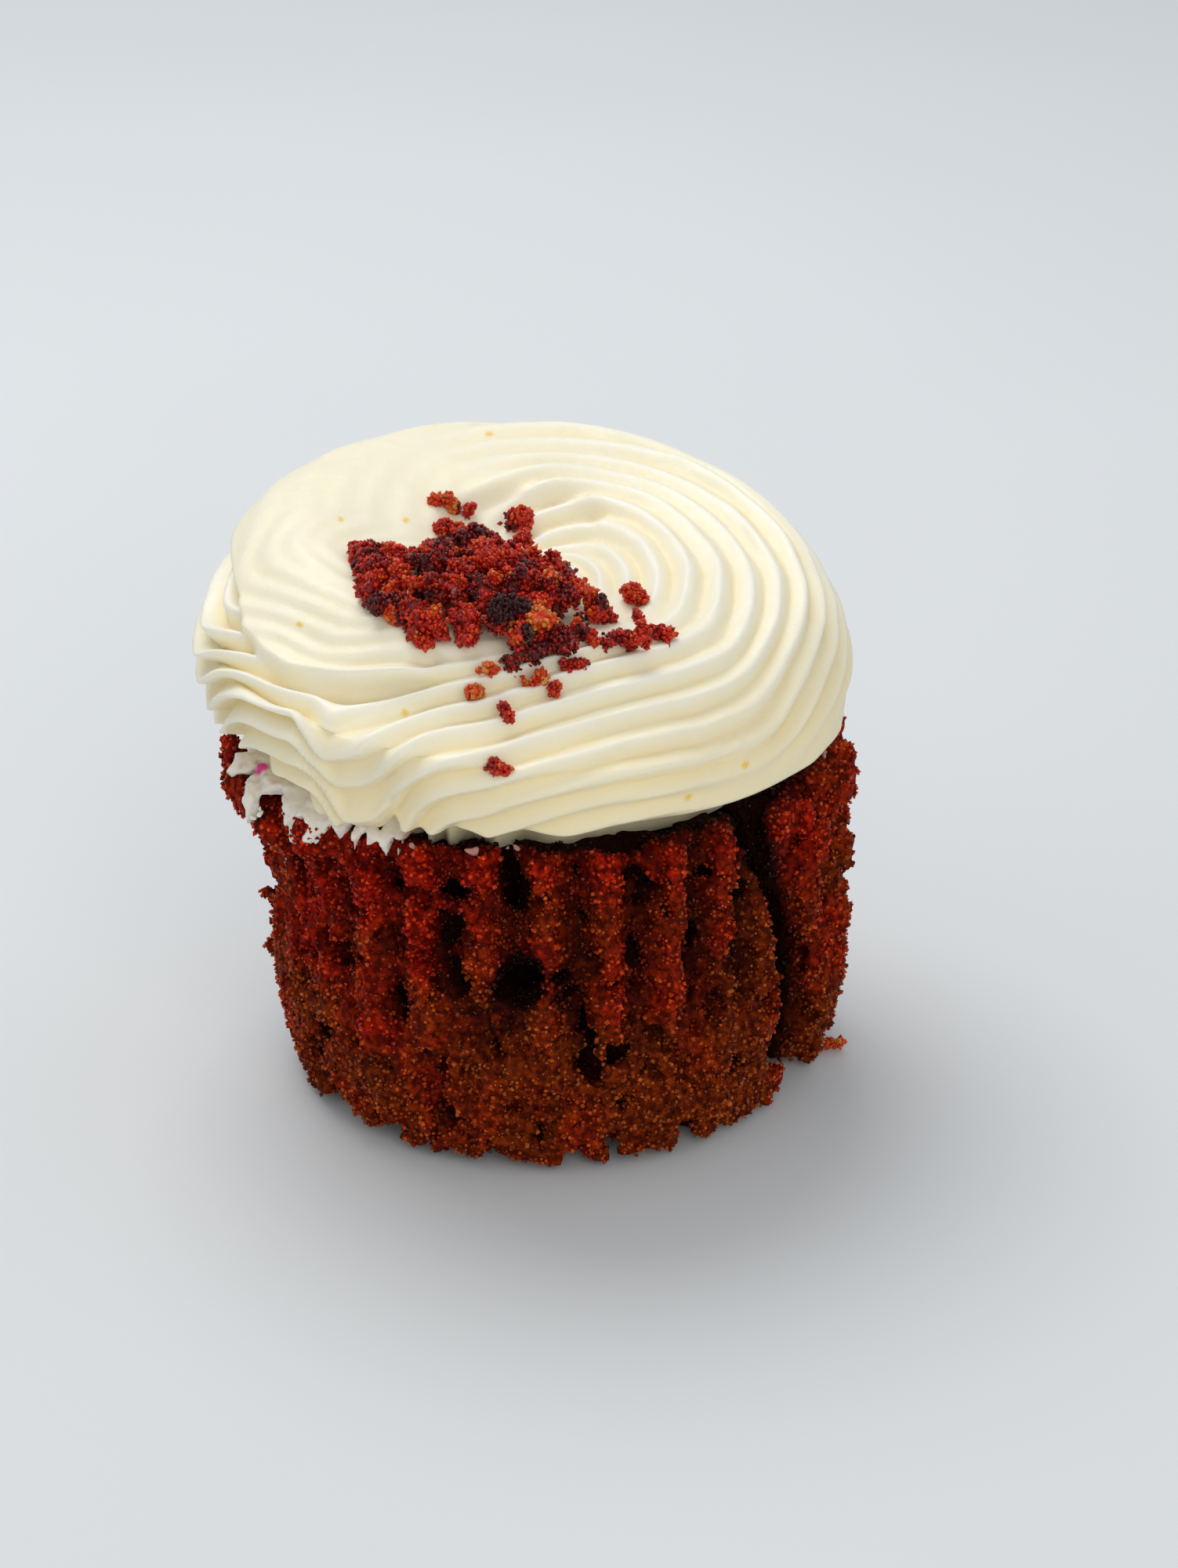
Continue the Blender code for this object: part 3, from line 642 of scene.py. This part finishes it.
def carve(points, angle, radial):
    """Negative inside the crack and the open pore, positive away from them."""
    bend = 0.7 * MM * noise(points, 5 * MM, 31) + 0.6 * MM * noise(points, 1.7 * MM, 32)
    share = points[..., 2] / SPONGE_HEIGHT
    across = np.abs(turn(angle, crack_angle(share))) / 180 * math.pi * radial + bend
    inward = (radial - (BODY_RADIUS - CRACK_DEPTH)) / CRACK_DEPTH
    width = CRACK_BASE_WIDTH + (CRACK_TOP_WIDTH - CRACK_BASE_WIDTH) * share
    half_width = width / 2 * (0.62 + 0.65 * np.clip(inward, 0, 1.3))
    crack = np.maximum(across - half_width, -inward * CRACK_DEPTH)
    side = turn(angle, CAVITY_ANGLE) / 180 * math.pi * radial
    tall = points[..., 2] - CAVITY_HEIGHT - 0.35 * side
    hole = (np.sqrt((side / CAVITY_SIZE[0]) ** 2 + (tall / CAVITY_SIZE[1]) ** 2
                    + ((radial - BODY_RADIUS) / (8.0 * MM)) ** 2) - 1) * CAVITY_SIZE[1] + 0.8 * bend
    return np.minimum(crack, hole)


def pore_depth(points):
    """Depth of the open pores under the skin, zero over most of the surface."""
    stretched = points * (1, 1, 0.75)
    spread = noise(stretched, 2.3 * MM, 41) + 0.6 * noise(stretched, 1.1 * MM, 42)
    return 2.6 * MM * step(spread, 0.16, 0.60)


def skin_balls():
    """Centres and radii of the knobs that make the skin of the sponge."""
    rng = np.random.default_rng(5)
    count = 21000
    angle = rng.uniform(-180, 180, count)
    height = rng.uniform(0.3 * MM, SPONGE_HEIGHT - 0.2 * MM, count)
    radius = rng.uniform(0.40, 0.78, count) * MM
    depth = radius * rng.uniform(0.7, 1.6, count)
    proud = rng.uniform(0, 1, count) < 0.012
    depth[proud] -= 1.0 * MM
    reach = sponge_radius(angle, height) - depth
    centres = np.stack([reach * np.cos(np.radians(angle)), reach * np.sin(np.radians(angle)), height], -1)
    keep = pore_depth(centres) < 0.8 * MM
    keep &= noise(centres, 1.25 * MM, 47) + 0.5 * noise(centres, 3.1 * MM, 48) > -0.30
    keep &= carve(centres, angle, reach) > 0.8 * radius
    return centres[keep], radius[keep]


def sponge_field(voxel):
    """Core with pores, crack and cavity, and the knobs of the skin over it."""
    margin = 2.0 * MM
    field = Field((CAKE_LOW.x - margin, CAKE_LOW.y - margin, -0.8 * MM),
                  (CAKE_HIGH.x + margin, CAKE_HIGH.y + margin, SPONGE_HEIGHT + 0.8 * MM), voxel)
    grid = field.points()
    depth, angle, radial = side_depth(grid)
    near = (depth > -1.6 * MM) & (depth < 8 * MM)
    spots = grid[near]
    rough = 0.30 * MM * noise(spots, 1.5 * MM, 43) + 0.25 * MM * noise(spots, 0.8 * MM, 44)
    core = depth[near] - 1.2 * MM - pore_depth(spots) + rough
    core = np.minimum(core, carve(spots, angle[near], radial[near]) + rough)
    field.values[:] = np.where(depth > 4 * MM, voxel, field.values)
    field.values[near] = core
    field.add_balls(*skin_balls())
    field.soften(0.35)
    field.values = np.minimum(field.values, np.minimum(grid[..., 2], SPONGE_HEIGHT - grid[..., 2]))
    return field


def crumb_colouring(points):
    """Attributes of sponge crumb: depth under the flutes' crests in mm, deepened in the crack and the cavity and made
    shallower on the lobe, which the material paints as shade (painted shade in the grooves, crack and cavity, painted
    light on the lobe), and how brown it is.
    """
    _, angle, radial = side_depth(points)
    height = points[:, 2]
    depth = sponge_radius(angle, height, fluted=False) - radial
    # Painted light: the lobe beyond the crack counts as shallower, so it is painted brighter.
    beyond_crack = (angle - crack_angle(height / SPONGE_HEIGHT)) % 360.0
    depth -= 1.6 * MM * step(beyond_crack, 2, 6) * (1 - step(beyond_crack, 60, 90))
    # Painted shade: the inside of the crack counts as deeper, so it is painted darker.
    depth += 2.5 * MM * bell(turn(angle, crack_angle(height / SPONGE_HEIGHT)), 3) * step(depth, 1 * MM, 3 * MM)
    # Painted shade: the open cavity counts as very deep, so it is painted almost black.
    beside = np.abs(turn(angle, CAVITY_ANGLE)) / 180 * math.pi * BODY_RADIUS
    hollow = bell(beside, CAVITY_SIZE[0]) * bell(height - CAVITY_HEIGHT, CAVITY_SIZE[1])
    depth += 8 * MM * hollow * step(depth, 0.6 * MM, 2.0 * MM)
    right = sector(angle, -110, -60, 60, 120)
    brown = 0.26 + 0.50 * (1 - step(height, 8 * MM, 26 * MM)) + 0.25 * right * (1 - step(height, 27 * MM, 32 * MM))
    brown = brown - 0.22 * sector(angle, 200, 220, 245, 262) * step(height, 12 * MM, 20 * MM)
    brown = brown + 0.55 * noise(points, 5 * MM, 45) + 0.25 * noise(points, 1.5 * MM, 46)
    return depth / MM, np.clip(brown, 0, 1)


def build_sponge(core_material, granule_material, glint_material):
    points, quads = drop_specks(*sponge_field(0.57 * MM).surface(), smallest=60)
    depth, brown = crumb_colouring(points)
    piece = mesh_object("sponge_crumb", points, [quads], {"depth": depth, "brown": brown})
    finish_piece(piece, core_material, ["cake"])
    rng = np.random.default_rng(6)
    share = 1.0
    for name, count, size, material in (("sponge_granules", 34000, 0.225 * MM, granule_material),
                                        ("sponge_glints", 9000, 0.19 * MM, glint_material)):
        places, normals = scatter(rng, points, quads, int(count * share))
        depth, angle, radial = side_depth(places)
        shown = (radial > 23 * MM) & (places[:, 2] > 0.25 * MM) & (depth < 4 * MM)
        shown &= places[:, 2] < SPONGE_HEIGHT - 0.15 * MM
        radii = size * rng.uniform(0.65, 1.45, len(places)) / math.sqrt(share)
        centres = places + normals * (radii * rng.uniform(0.0, 0.9, len(places)))[:, None]
        centres = centres[shown]
        corners, triangles = granules(rng, centres, radii[shown])
        depth, brown = crumb_colouring(centres)
        tint = rng.uniform(0, 1, len(centres))
        looks = {"depth": np.repeat(depth, 6), "brown": np.repeat(brown, 6), "tint": np.repeat(tint, 6)}
        finish_piece(mesh_object(name, corners, [triangles], looks), material, ["cake"])


# ---------------------------------------------------------------- smears

def smear_reach(angle, points):
    """How far down the smears run at an angle, along the path over the rim, in mm."""
    reach = np.full(np.shape(angle), -9.0)
    for centre, tip, slope in SMEARS:
        reach = np.maximum(reach, tip - slope * np.abs(turn(angle, centre)))
    return reach + 1.3 * noise(points, 1.5 * MM, 71) + 0.6 * noise(points, 0.5 * MM, 72)


def build_smears(material):
    """Thin frosting left on the sponge's rim, and small flecks under the frosting's edge."""
    field = Field((CAKE_LOW.x - 1 * MM, CAKE_LOW.y - 1 * MM, 26 * MM),
                  (CAKE_HIGH.x + 1 * MM, 6 * MM, SPONGE_HEIGHT + 1.2 * MM),
                  0.24 * MM)
    grid = field.points()
    angle = np.degrees(np.arctan2(grid[..., 1], grid[..., 0]))
    radial = np.hypot(grid[..., 0], grid[..., 1])
    outside = np.maximum(radial - sponge_radius(angle, grid[..., 2]), grid[..., 2] - SPONGE_HEIGHT)
    near = (np.abs(outside) < 1.5 * MM) & (np.abs(turn(angle, 215)) < 36)
    spots = grid[near]
    rim = sponge_radius(angle[near], np.full(len(spots), SPONGE_HEIGHT - 2 * SHOULDER_HEIGHT), fluted=False)
    path = 4 + (radial[near] - rim + SPONGE_HEIGHT - spots[:, 2]) / MM
    cover = smear_reach(angle[near], spots) - path
    thick = 0.50 + 0.30 * noise(spots, 0.9 * MM, 73)
    shell = np.minimum(thick * MM - outside[near], outside[near] + 0.9 * MM)
    holes = 0.62 - noise(spots, 1.8 * MM, 74) - 0.4 * noise(spots, 0.8 * MM, 75)
    field.values[near] = np.minimum(shell, np.minimum(cover, 2 * holes) * 0.6 * MM)
    rng = np.random.default_rng(31)
    for at_angle, height, spread, count in FLECKS:
        along = rng.uniform(-1, 1, count) * spread * MM
        rise = rng.uniform(-0.35, 0.35, count) * MM
        reach = sponge_radius(np.full(count, at_angle), np.full(count, height * MM)) + rng.uniform(-0.1, 0.25, count) * MM
        turned = np.radians(at_angle) + along / BODY_RADIUS
        field.add_balls(np.stack([reach * np.cos(turned), reach * np.sin(turned), height * MM + rise], -1),
                        rng.uniform(0.2, 0.34, count) * MM)
    field.soften(0.4)
    points, quads = drop_specks(*field.surface(), smallest=6)
    looks = {}
    looks["dull"] = step(np.degrees(np.arctan2(points[:, 1], points[:, 0])) % 360.0, 238, 241)
    for key, place in STAINS.items():
        looks[key] = 1 - step(np.linalg.norm(points - np.array(place), axis=1), 0.5 * MM, 1.1 * MM)
    finish_piece(mesh_object("frosting_smears", points, [quads], looks), material)


# ---------------------------------------------------------------- crumbs

def clump(rng, centre, size, grain):
    """Grains packed at random in a few overlapping lumps, with ragged gaps."""
    lumps = rng.normal(size=(5, 3))
    lumps *= (rng.uniform(0.35, 0.8, 5) / np.linalg.norm(lumps, axis=1))[:, None]
    count = int(2.0 * np.prod(size) / grain ** 3) + 8
    offsets = rng.normal(size=(count, 3))
    offsets *= (rng.uniform(0, 1.0, count) ** 0.5 / np.linalg.norm(offsets, axis=1))[:, None]
    offsets = lumps[rng.integers(0, 5, count)] + 0.55 * offsets
    spots = centre + offsets * size
    spots = spots[noise(spots, 0.9 * MM, 61) > -0.04]
    return spots, rng.uniform(0.7, 1.3, len(spots)) * grain


def frosting_floor(tree):
    """Function that gives the height of the frosting under a point."""
    def height(x, y):
        hit = tree.ray_cast(Vector((x, y, 0.1)), Vector((0, 0, -1)))[0]
        return hit.z if hit else FROSTING_FLOOR
    return height


def heap_reach(angle):
    """Uneven outline of the heap, seen from above, as in the CAD."""
    a = np.radians(angle)
    lobes = 1 + 0.13 * np.cos(2 * a + 1.15) + 0.06 * np.sin(5 * a + 0.7) + 0.05 * np.sin(9 * a + 2.1)
    return HEAP_RADIUS * lobes


def heap_clumps(rng, height):
    """Centre, half-size and tint of each clump: dark 0, maroon, red, and orange-brown 1."""
    clumps = []
    while len(clumps) < HEAP_CLUMPS:
        angle = rng.uniform(0, 360)
        share = math.sqrt(rng.uniform(0, 1))
        x = HEAP_X + share * 0.93 * heap_reach(angle) * math.cos(math.radians(angle))
        y = HEAP_Y + share * 0.93 * heap_reach(angle) * math.sin(math.radians(angle))
        if any(math.hypot(x - gap_x, y - gap_y) < reach for gap_x, gap_y, reach in HEAP_GAPS):
            continue
        low_arm = step(x, -15 * MM, -11 * MM) * 0.75 + 0.25
        rise = HEAP_HEIGHT * (1 - share ** 2) ** 0.75 * float(low_arm) * rng.uniform(0.1, 1.0)
        size = rng.uniform(0.65, 1.25) * MM * rng.uniform(0.7, 1.3, 3)
        tint = rng.choice((0.16, 0.3, 0.45, 0.6, 0.70, 0.88), p=(0.04, 0.18, 0.26, 0.28, 0.16, 0.08))
        clumps.append(((x, y, height(x, y) + size[2] * 0.8 + rise), size, tint))
    for x, y, rise, size, tint in HEAP_FEATURES:
        clumps.append(((x, y, height(x, y) + rise), np.full(3, size), tint))
    return clumps


def loose_clumps(rng, height):
    """Crumbs by themselves on the frosting, each of a few lumps along its length."""
    clumps = []
    for angle, arc, length, tall, tint in LOOSE_CRUMBS:
        radius, _ = smooth_swirl(np.array([float(angle)]), np.array([arc * MM]))
        heading = rng.uniform(-0.6, 0.6)
        lumps = max(1, round(1.9 * length / tall))
        for k in range(lumps):
            along = (k - (lumps - 1) / 2) * length * MM / lumps
            x = SWIRL_X + radius[0] * math.cos(math.radians(angle)) + along * math.cos(heading)
            y = radius[0] * math.sin(math.radians(angle)) + along * math.sin(heading)
            size = 0.62 * tall * MM * rng.uniform(0.7, 1.15, 3)
            clumps.append(((x, y, height(x, y) + size[2] * 0.85), size, tint + rng.uniform(-0.12, 0.12)))
    return clumps


def crumb_piece(name, clumps, grain_count, material, replaced=()):
    """Lumps of fused grains with small granules all over them, as one mesh."""
    rng = np.random.default_rng(len(clumps))
    centres = []
    radii = []
    tints = []
    for centre, size, tint in clumps:
        spots, grains = clump(rng, np.array(centre), size, 0.25 * MM)
        centres.append(spots)
        radii.append(grains)
        tints.append(np.full(len(spots), tint) + rng.choice((-0.1, 0.0, 0.12)))
    centres = np.concatenate(centres)
    tints = np.concatenate(tints)
    voxel = 0.23 * MM
    field = Field(centres.min(0) - 1.2 * MM, centres.max(0) + 1.2 * MM, voxel)
    field.add_balls(centres, np.concatenate(radii))
    field.soften(0.5)
    points, quads = drop_specks(*field.surface(), smallest=12)
    places, normals = scatter(rng, points, quads, grain_count)
    sizes = 0.225 * MM * rng.uniform(0.6, 1.5, grain_count)
    places = places + normals * (sizes * rng.uniform(0.1, 1.0, grain_count))[:, None]
    corners, triangles = granules(rng, places, sizes)
    tree = KDTree(len(centres))
    for index, centre in enumerate(centres):
        tree.insert(centre, index)
    tree.balance()
    # Painted shade: the lumps under the granules are tinted darker than the granules, so the gaps between them read as
    # shade.
    shaded_core_tint = tints[[tree.find(point)[1] for point in points]] - 0.12
    grain_tint = tints[[tree.find(place)[1] for place in places]] + rng.uniform(-0.16, 0.16, grain_count)
    triangles = triangles + len(points)
    piece = mesh_object(name, np.concatenate([points, corners]), [quads, triangles],
                        {"tint": np.concatenate([shaded_core_tint, np.repeat(grain_tint, 6)])})
    finish_piece(piece, material, replaced)


# ---------------------------------------------------------------- materials

def new_material(name):
    material = bpy.data.materials.new(name)
    material.use_nodes = True
    return material, material.node_tree, material.node_tree.nodes["Principled BSDF"]


def node(tree, kind, inputs=None, **settings):
    made = tree.nodes.new(kind)
    for key, value in settings.items():
        setattr(made, key, value)
    for key, value in (inputs or {}).items():
        if isinstance(value, bpy.types.NodeSocket):
            tree.links.new(value, made.inputs[key])
        else:
            made.inputs[key].default_value = value
    return made


def object_coordinates(tree):
    return node(tree, "ShaderNodeTexCoord").outputs["Object"]


def noise_value(tree, scale, detail=3.0, roughness=0.55):
    """Noise with features of 1/scale metres."""
    made = node(tree, "ShaderNodeTexNoise",
                {"Vector": object_coordinates(tree), "Scale": scale, "Detail": detail, "Roughness": roughness})
    return made.outputs["Fac"]


def ramp(tree, value, stops):
    made = node(tree, "ShaderNodeValToRGB", {"Fac": value})
    elements = made.color_ramp.elements
    while len(elements) < len(stops):
        elements.new(0.5)
    for element, (place, colour) in zip(elements, stops):
        element.position = place
        element.color = (*colour, 1)
    return made.outputs["Color"]


def mix(tree, amount, first, second, blend='MIX'):
    made = tree.nodes.new("ShaderNodeMix")
    made.data_type = 'RGBA'
    made.blend_type = blend
    for socket, value in ((made.inputs[0], amount), (made.inputs[6], first), (made.inputs[7], second)):
        if isinstance(value, bpy.types.NodeSocket):
            tree.links.new(value, socket)
        else:
            socket.default_value = value
    return made.outputs[2]


def attribute(tree, name):
    return node(tree, "ShaderNodeAttribute", attribute_name=name).outputs["Fac"]


def map_range(tree, value, low, high, to_low=0.0, to_high=1.0):
    made = node(tree, "ShaderNodeMapRange", {"Value": value, "From Min": low, "From Max": high,
                                             "To Min": to_low, "To Max": to_high})
    return made.outputs["Result"]


def bump(tree, shader, height, distance, strength=1.0, under=None):
    inputs = {"Height": height, "Distance": distance, "Strength": strength}
    if under is not None:
        inputs["Normal"] = under
    made = node(tree, "ShaderNodeBump", inputs)
    tree.links.new(made.outputs["Normal"], shader.inputs["Normal"])
    return made.outputs["Normal"]


def frosting_material():
    material, tree, shader = new_material("whipped_frosting")
    # Painted shade: the valleys between the ridges are painted darker and yellower than the crests.
    ridge = map_range(tree, attribute(tree, "ridge"), -0.8, 0.5)
    body = ramp(tree, ridge, [(0.0, (0.92, 0.77, 0.41)), (0.55, (0.92, 0.85, 0.63)), (1.0, (0.92, 0.885, 0.765))])
    patch = map_range(tree, noise_value(tree, 160, 2), 0.35, 0.7, 0.0, 0.6)
    colour = mix(tree, patch, body, (0.90, 0.86, 0.69, 1))
    # Painted reflected light: the lower part of the frosting is painted warmer and yellower.
    low = map_range(tree, attribute(tree, "low"), 0, 1, 0.0, 0.55)
    colour = mix(tree, low, colour, (0.93, 0.76, 0.41, 1))
    colour = mix(tree, attribute(tree, "speck"), colour, (0.90, 0.60, 0.10, 1))
    tree.links.new(colour, shader.inputs["Base Color"])
    rough = map_range(tree, noise_value(tree, 900, 3), 0.3, 0.7, 0.34, 0.52)
    tree.links.new(rough, shader.inputs["Roughness"])
    shader.inputs["Subsurface Weight"].default_value = 0.35
    shader.inputs["Subsurface Radius"].default_value = (1.0, 0.85, 0.55)
    shader.inputs["Subsurface Scale"].default_value = 0.0025
    shader.inputs["Specular IOR Level"].default_value = 0.45
    first = bump(tree, shader, noise_value(tree, 700, 4), 0.00008, 0.7)
    bump(tree, shader, noise_value(tree, 2600, 3), 0.00003, 0.8, first)
    return material


def smear_material():
    """Thin whipped frosting, dirtied by crumb where it is thinnest, with two spots of food colouring."""
    material, tree, shader = new_material("smeared_frosting")
    dirt = map_range(tree, noise_value(tree, 900, 3), 0.52, 0.72, 0.0, 0.45)
    colour = mix(tree, dirt, (0.86, 0.82, 0.74, 1), (0.62, 0.30, 0.26, 1))
    colour = mix(tree, attribute(tree, "dull"), colour, (0.48, 0.25, 0.21, 1))
    colour = mix(tree, attribute(tree, "magenta"), colour, (0.80, 0.03, 0.32, 1))
    colour = mix(tree, attribute(tree, "orange"), colour, (0.95, 0.32, 0.03, 1))
    tree.links.new(colour, shader.inputs["Base Color"])
    rough = map_range(tree, noise_value(tree, 1500, 2), 0.3, 0.7, 0.35, 0.6)
    tree.links.new(rough, shader.inputs["Roughness"])
    shader.inputs["Subsurface Weight"].default_value = 0.2
    shader.inputs["Subsurface Radius"].default_value = (1.0, 0.8, 0.6)
    shader.inputs["Subsurface Scale"].default_value = 0.0008
    bump(tree, shader, noise_value(tree, 1400, 3), 0.0002, 0.7)
    return material


def sponge_material(name, bright, roughness, specular):
    """Sponge crumb: red to brown by the brown attribute, mottled, with painted shade that goes almost black in the
    depths.
    """
    material, tree, shader = new_material(name)
    fine = noise_value(tree, 1300, 3)
    grain = node(tree, "ShaderNodeMath", {0: fine, 1: map_range(tree, attribute(tree, "tint"), 0, 1, -0.16, 0.16)},
                 operation='ADD').outputs[0]
    red = ramp(tree, grain, [(0.25, scaled((0.10, 0.002, 0.0), bright)), (0.46, scaled((0.38, 0.009, 0.001), bright)),
                             (0.62, scaled((0.66, 0.034, 0.004), bright)), (0.80, scaled((0.78, 0.100, 0.022), bright))])
    brown = ramp(tree, grain, [(0.25, scaled((0.058, 0.005, 0.0), bright)), (0.46, scaled((0.21, 0.025, 0.001), bright)),
                               (0.62, scaled((0.41, 0.076, 0.006), bright)), (0.80, scaled((0.55, 0.135, 0.020), bright))])
    body = mix(tree, attribute(tree, "brown"), red, brown)
    # Painted shade: the deeper under the flutes' crests, the closer the crumb is painted to black.
    depth_shade = map_range(tree, attribute(tree, "depth"), 0.7, 3.9)
    colour = mix(tree, depth_shade, body, (0.010, 0.0005, 0.0, 1))
    tree.links.new(colour, shader.inputs["Base Color"])
    rough = map_range(tree, noise_value(tree, 2400, 2), 0.35, 0.65, *roughness)
    tree.links.new(rough, shader.inputs["Roughness"])
    shader.inputs["Specular IOR Level"].default_value = specular
    shader.inputs["Subsurface Weight"].default_value = 0.10
    shader.inputs["Subsurface Radius"].default_value = (1.0, 0.12, 0.05)
    shader.inputs["Subsurface Scale"].default_value = 0.0006
    first = bump(tree, shader, noise_value(tree, 1800, 3), 0.00025, 0.8)
    bump(tree, shader, noise_value(tree, 5000, 2), 0.0001, 0.8, first)
    return material


def scaled(colour, factor):
    return tuple(value * factor for value in colour)


def crumb_material():
    """Moist crumb, its colour set by the tint attribute: purple-black, maroon, red, orange-brown."""
    material, tree, shader = new_material("moist_crumbs")
    fine = map_range(tree, noise_value(tree, 1400, 3), 0.3, 0.7, -0.10, 0.10)
    tint = node(tree, "ShaderNodeMath", {0: attribute(tree, "tint"), 1: fine}, operation='ADD').outputs[0]
    colour = ramp(tree, tint, [(0.10, (0.035, 0.004, 0.006)), (0.32, (0.11, 0.003, 0.003)),
                               (0.50, (0.36, 0.006, 0.001)), (0.68, (0.68, 0.020, 0.003)),
                               (0.86, (0.66, 0.110, 0.008)), (1.0, (0.74, 0.280, 0.050))])
    tree.links.new(colour, shader.inputs["Base Color"])
    rough = map_range(tree, noise_value(tree, 2500, 2), 0.35, 0.65, 0.06, 0.40)
    tree.links.new(rough, shader.inputs["Roughness"])
    shader.inputs["Specular IOR Level"].default_value = 0.35
    shader.inputs["Subsurface Weight"].default_value = 0.35
    shader.inputs["Subsurface Radius"].default_value = (1.0, 0.10, 0.05)
    shader.inputs["Subsurface Scale"].default_value = 0.0008
    first = bump(tree, shader, noise_value(tree, 2600, 3), 0.00015, 0.8)
    bump(tree, shader, noise_value(tree, 7000, 2), 0.00006, 0.8, first)
    return material


def floor_material():
    material, tree, shader = new_material("pale_floor")
    shade = map_range(tree, noise_value(tree, 6, 2), 0.3, 0.7)
    colour = mix(tree, shade, (0.70, 0.73, 0.755, 1), (0.72, 0.75, 0.775, 1))
    tree.links.new(colour, shader.inputs["Base Color"])
    shader.inputs["Roughness"].default_value = 0.85
    return material


# ---------------------------------------------------------------- stage

def build_stage():
    bpy.ops.mesh.primitive_plane_add(size=8.0, location=(0, 0, 0))
    floor = bpy.context.object
    floor.name = "floor"
    floor.data.materials.append(floor_material())


def area_light(name, place, target, size, power, colour):
    data = bpy.data.lights.new(name, 'AREA')
    data.shape = 'DISK'
    data.size = size
    data.energy = power
    data.color = colour
    light = bpy.data.objects.new(name, data)
    light.location = place
    light.rotation_euler = (Vector(target) - Vector(place)).to_track_quat('-Z', 'Y').to_euler()
    bpy.context.scene.collection.objects.link(light)


def build_lights():
    world = bpy.data.worlds.new("soft_room")
    bpy.context.scene.world = world
    world.use_nodes = True
    background = world.node_tree.nodes["Background"]
    background.inputs["Color"].default_value = (0.93, 0.96, 1.0, 1)
    background.inputs["Strength"].default_value = 0.53
    middle = (0, 0, 0.04)
    area_light("key_above_back_left", (-0.15, 0.24, 0.55), middle, 0.45, 1.9, (1.0, 0.98, 0.95))
    area_light("fill_front", (0.15, -0.6, 0.35), middle, 0.5, 1.25, (1.0, 0.94, 0.84))


def build_camera():
    """Camera 43 cm away, looking 25 degrees down."""
    data = bpy.data.cameras.new("camera")
    data.lens = 97.2
    data.sensor_width = 36.0
    camera = bpy.data.objects.new("camera", data)
    camera.location = (0.0041, -0.3771, 0.2055)
    camera.rotation_euler = (math.radians(65), 0, 0)
    bpy.context.scene.collection.objects.link(camera)
    bpy.context.scene.camera = camera
    bpy.context.scene.view_settings.view_transform = 'Standard'


def build():
    frosting = build_frosting(frosting_material())
    build_sponge(sponge_material("sponge_core", 1.0, (0.45, 0.85), 0.05),
                 sponge_material("sponge_granule", 1.05, (0.30, 0.75), 0.10),
                 sponge_material("sponge_moist_granule", 1.1, (0.10, 0.35), 0.45))
    build_smears(smear_material())
    tree = BVHTree.FromPolygons([v.co for v in frosting.data.vertices],
                                [p.vertices for p in frosting.data.polygons])
    height = frosting_floor(tree)
    crumbs = crumb_material()
    share = 1.0
    crumb_piece("crumb_heap_grains", heap_clumps(np.random.default_rng(8), height), int(10000 * share), crumbs,
                ["crumb_heap"])
    crumb_piece("loose_crumbs", loose_clumps(np.random.default_rng(21), height), int(3200 * share), crumbs)
    crumb_piece("foot_crumb", [FOOT_CRUMB], int(90 * share), crumbs)
    build_stage()
    build_lights()
    build_camera()


build()
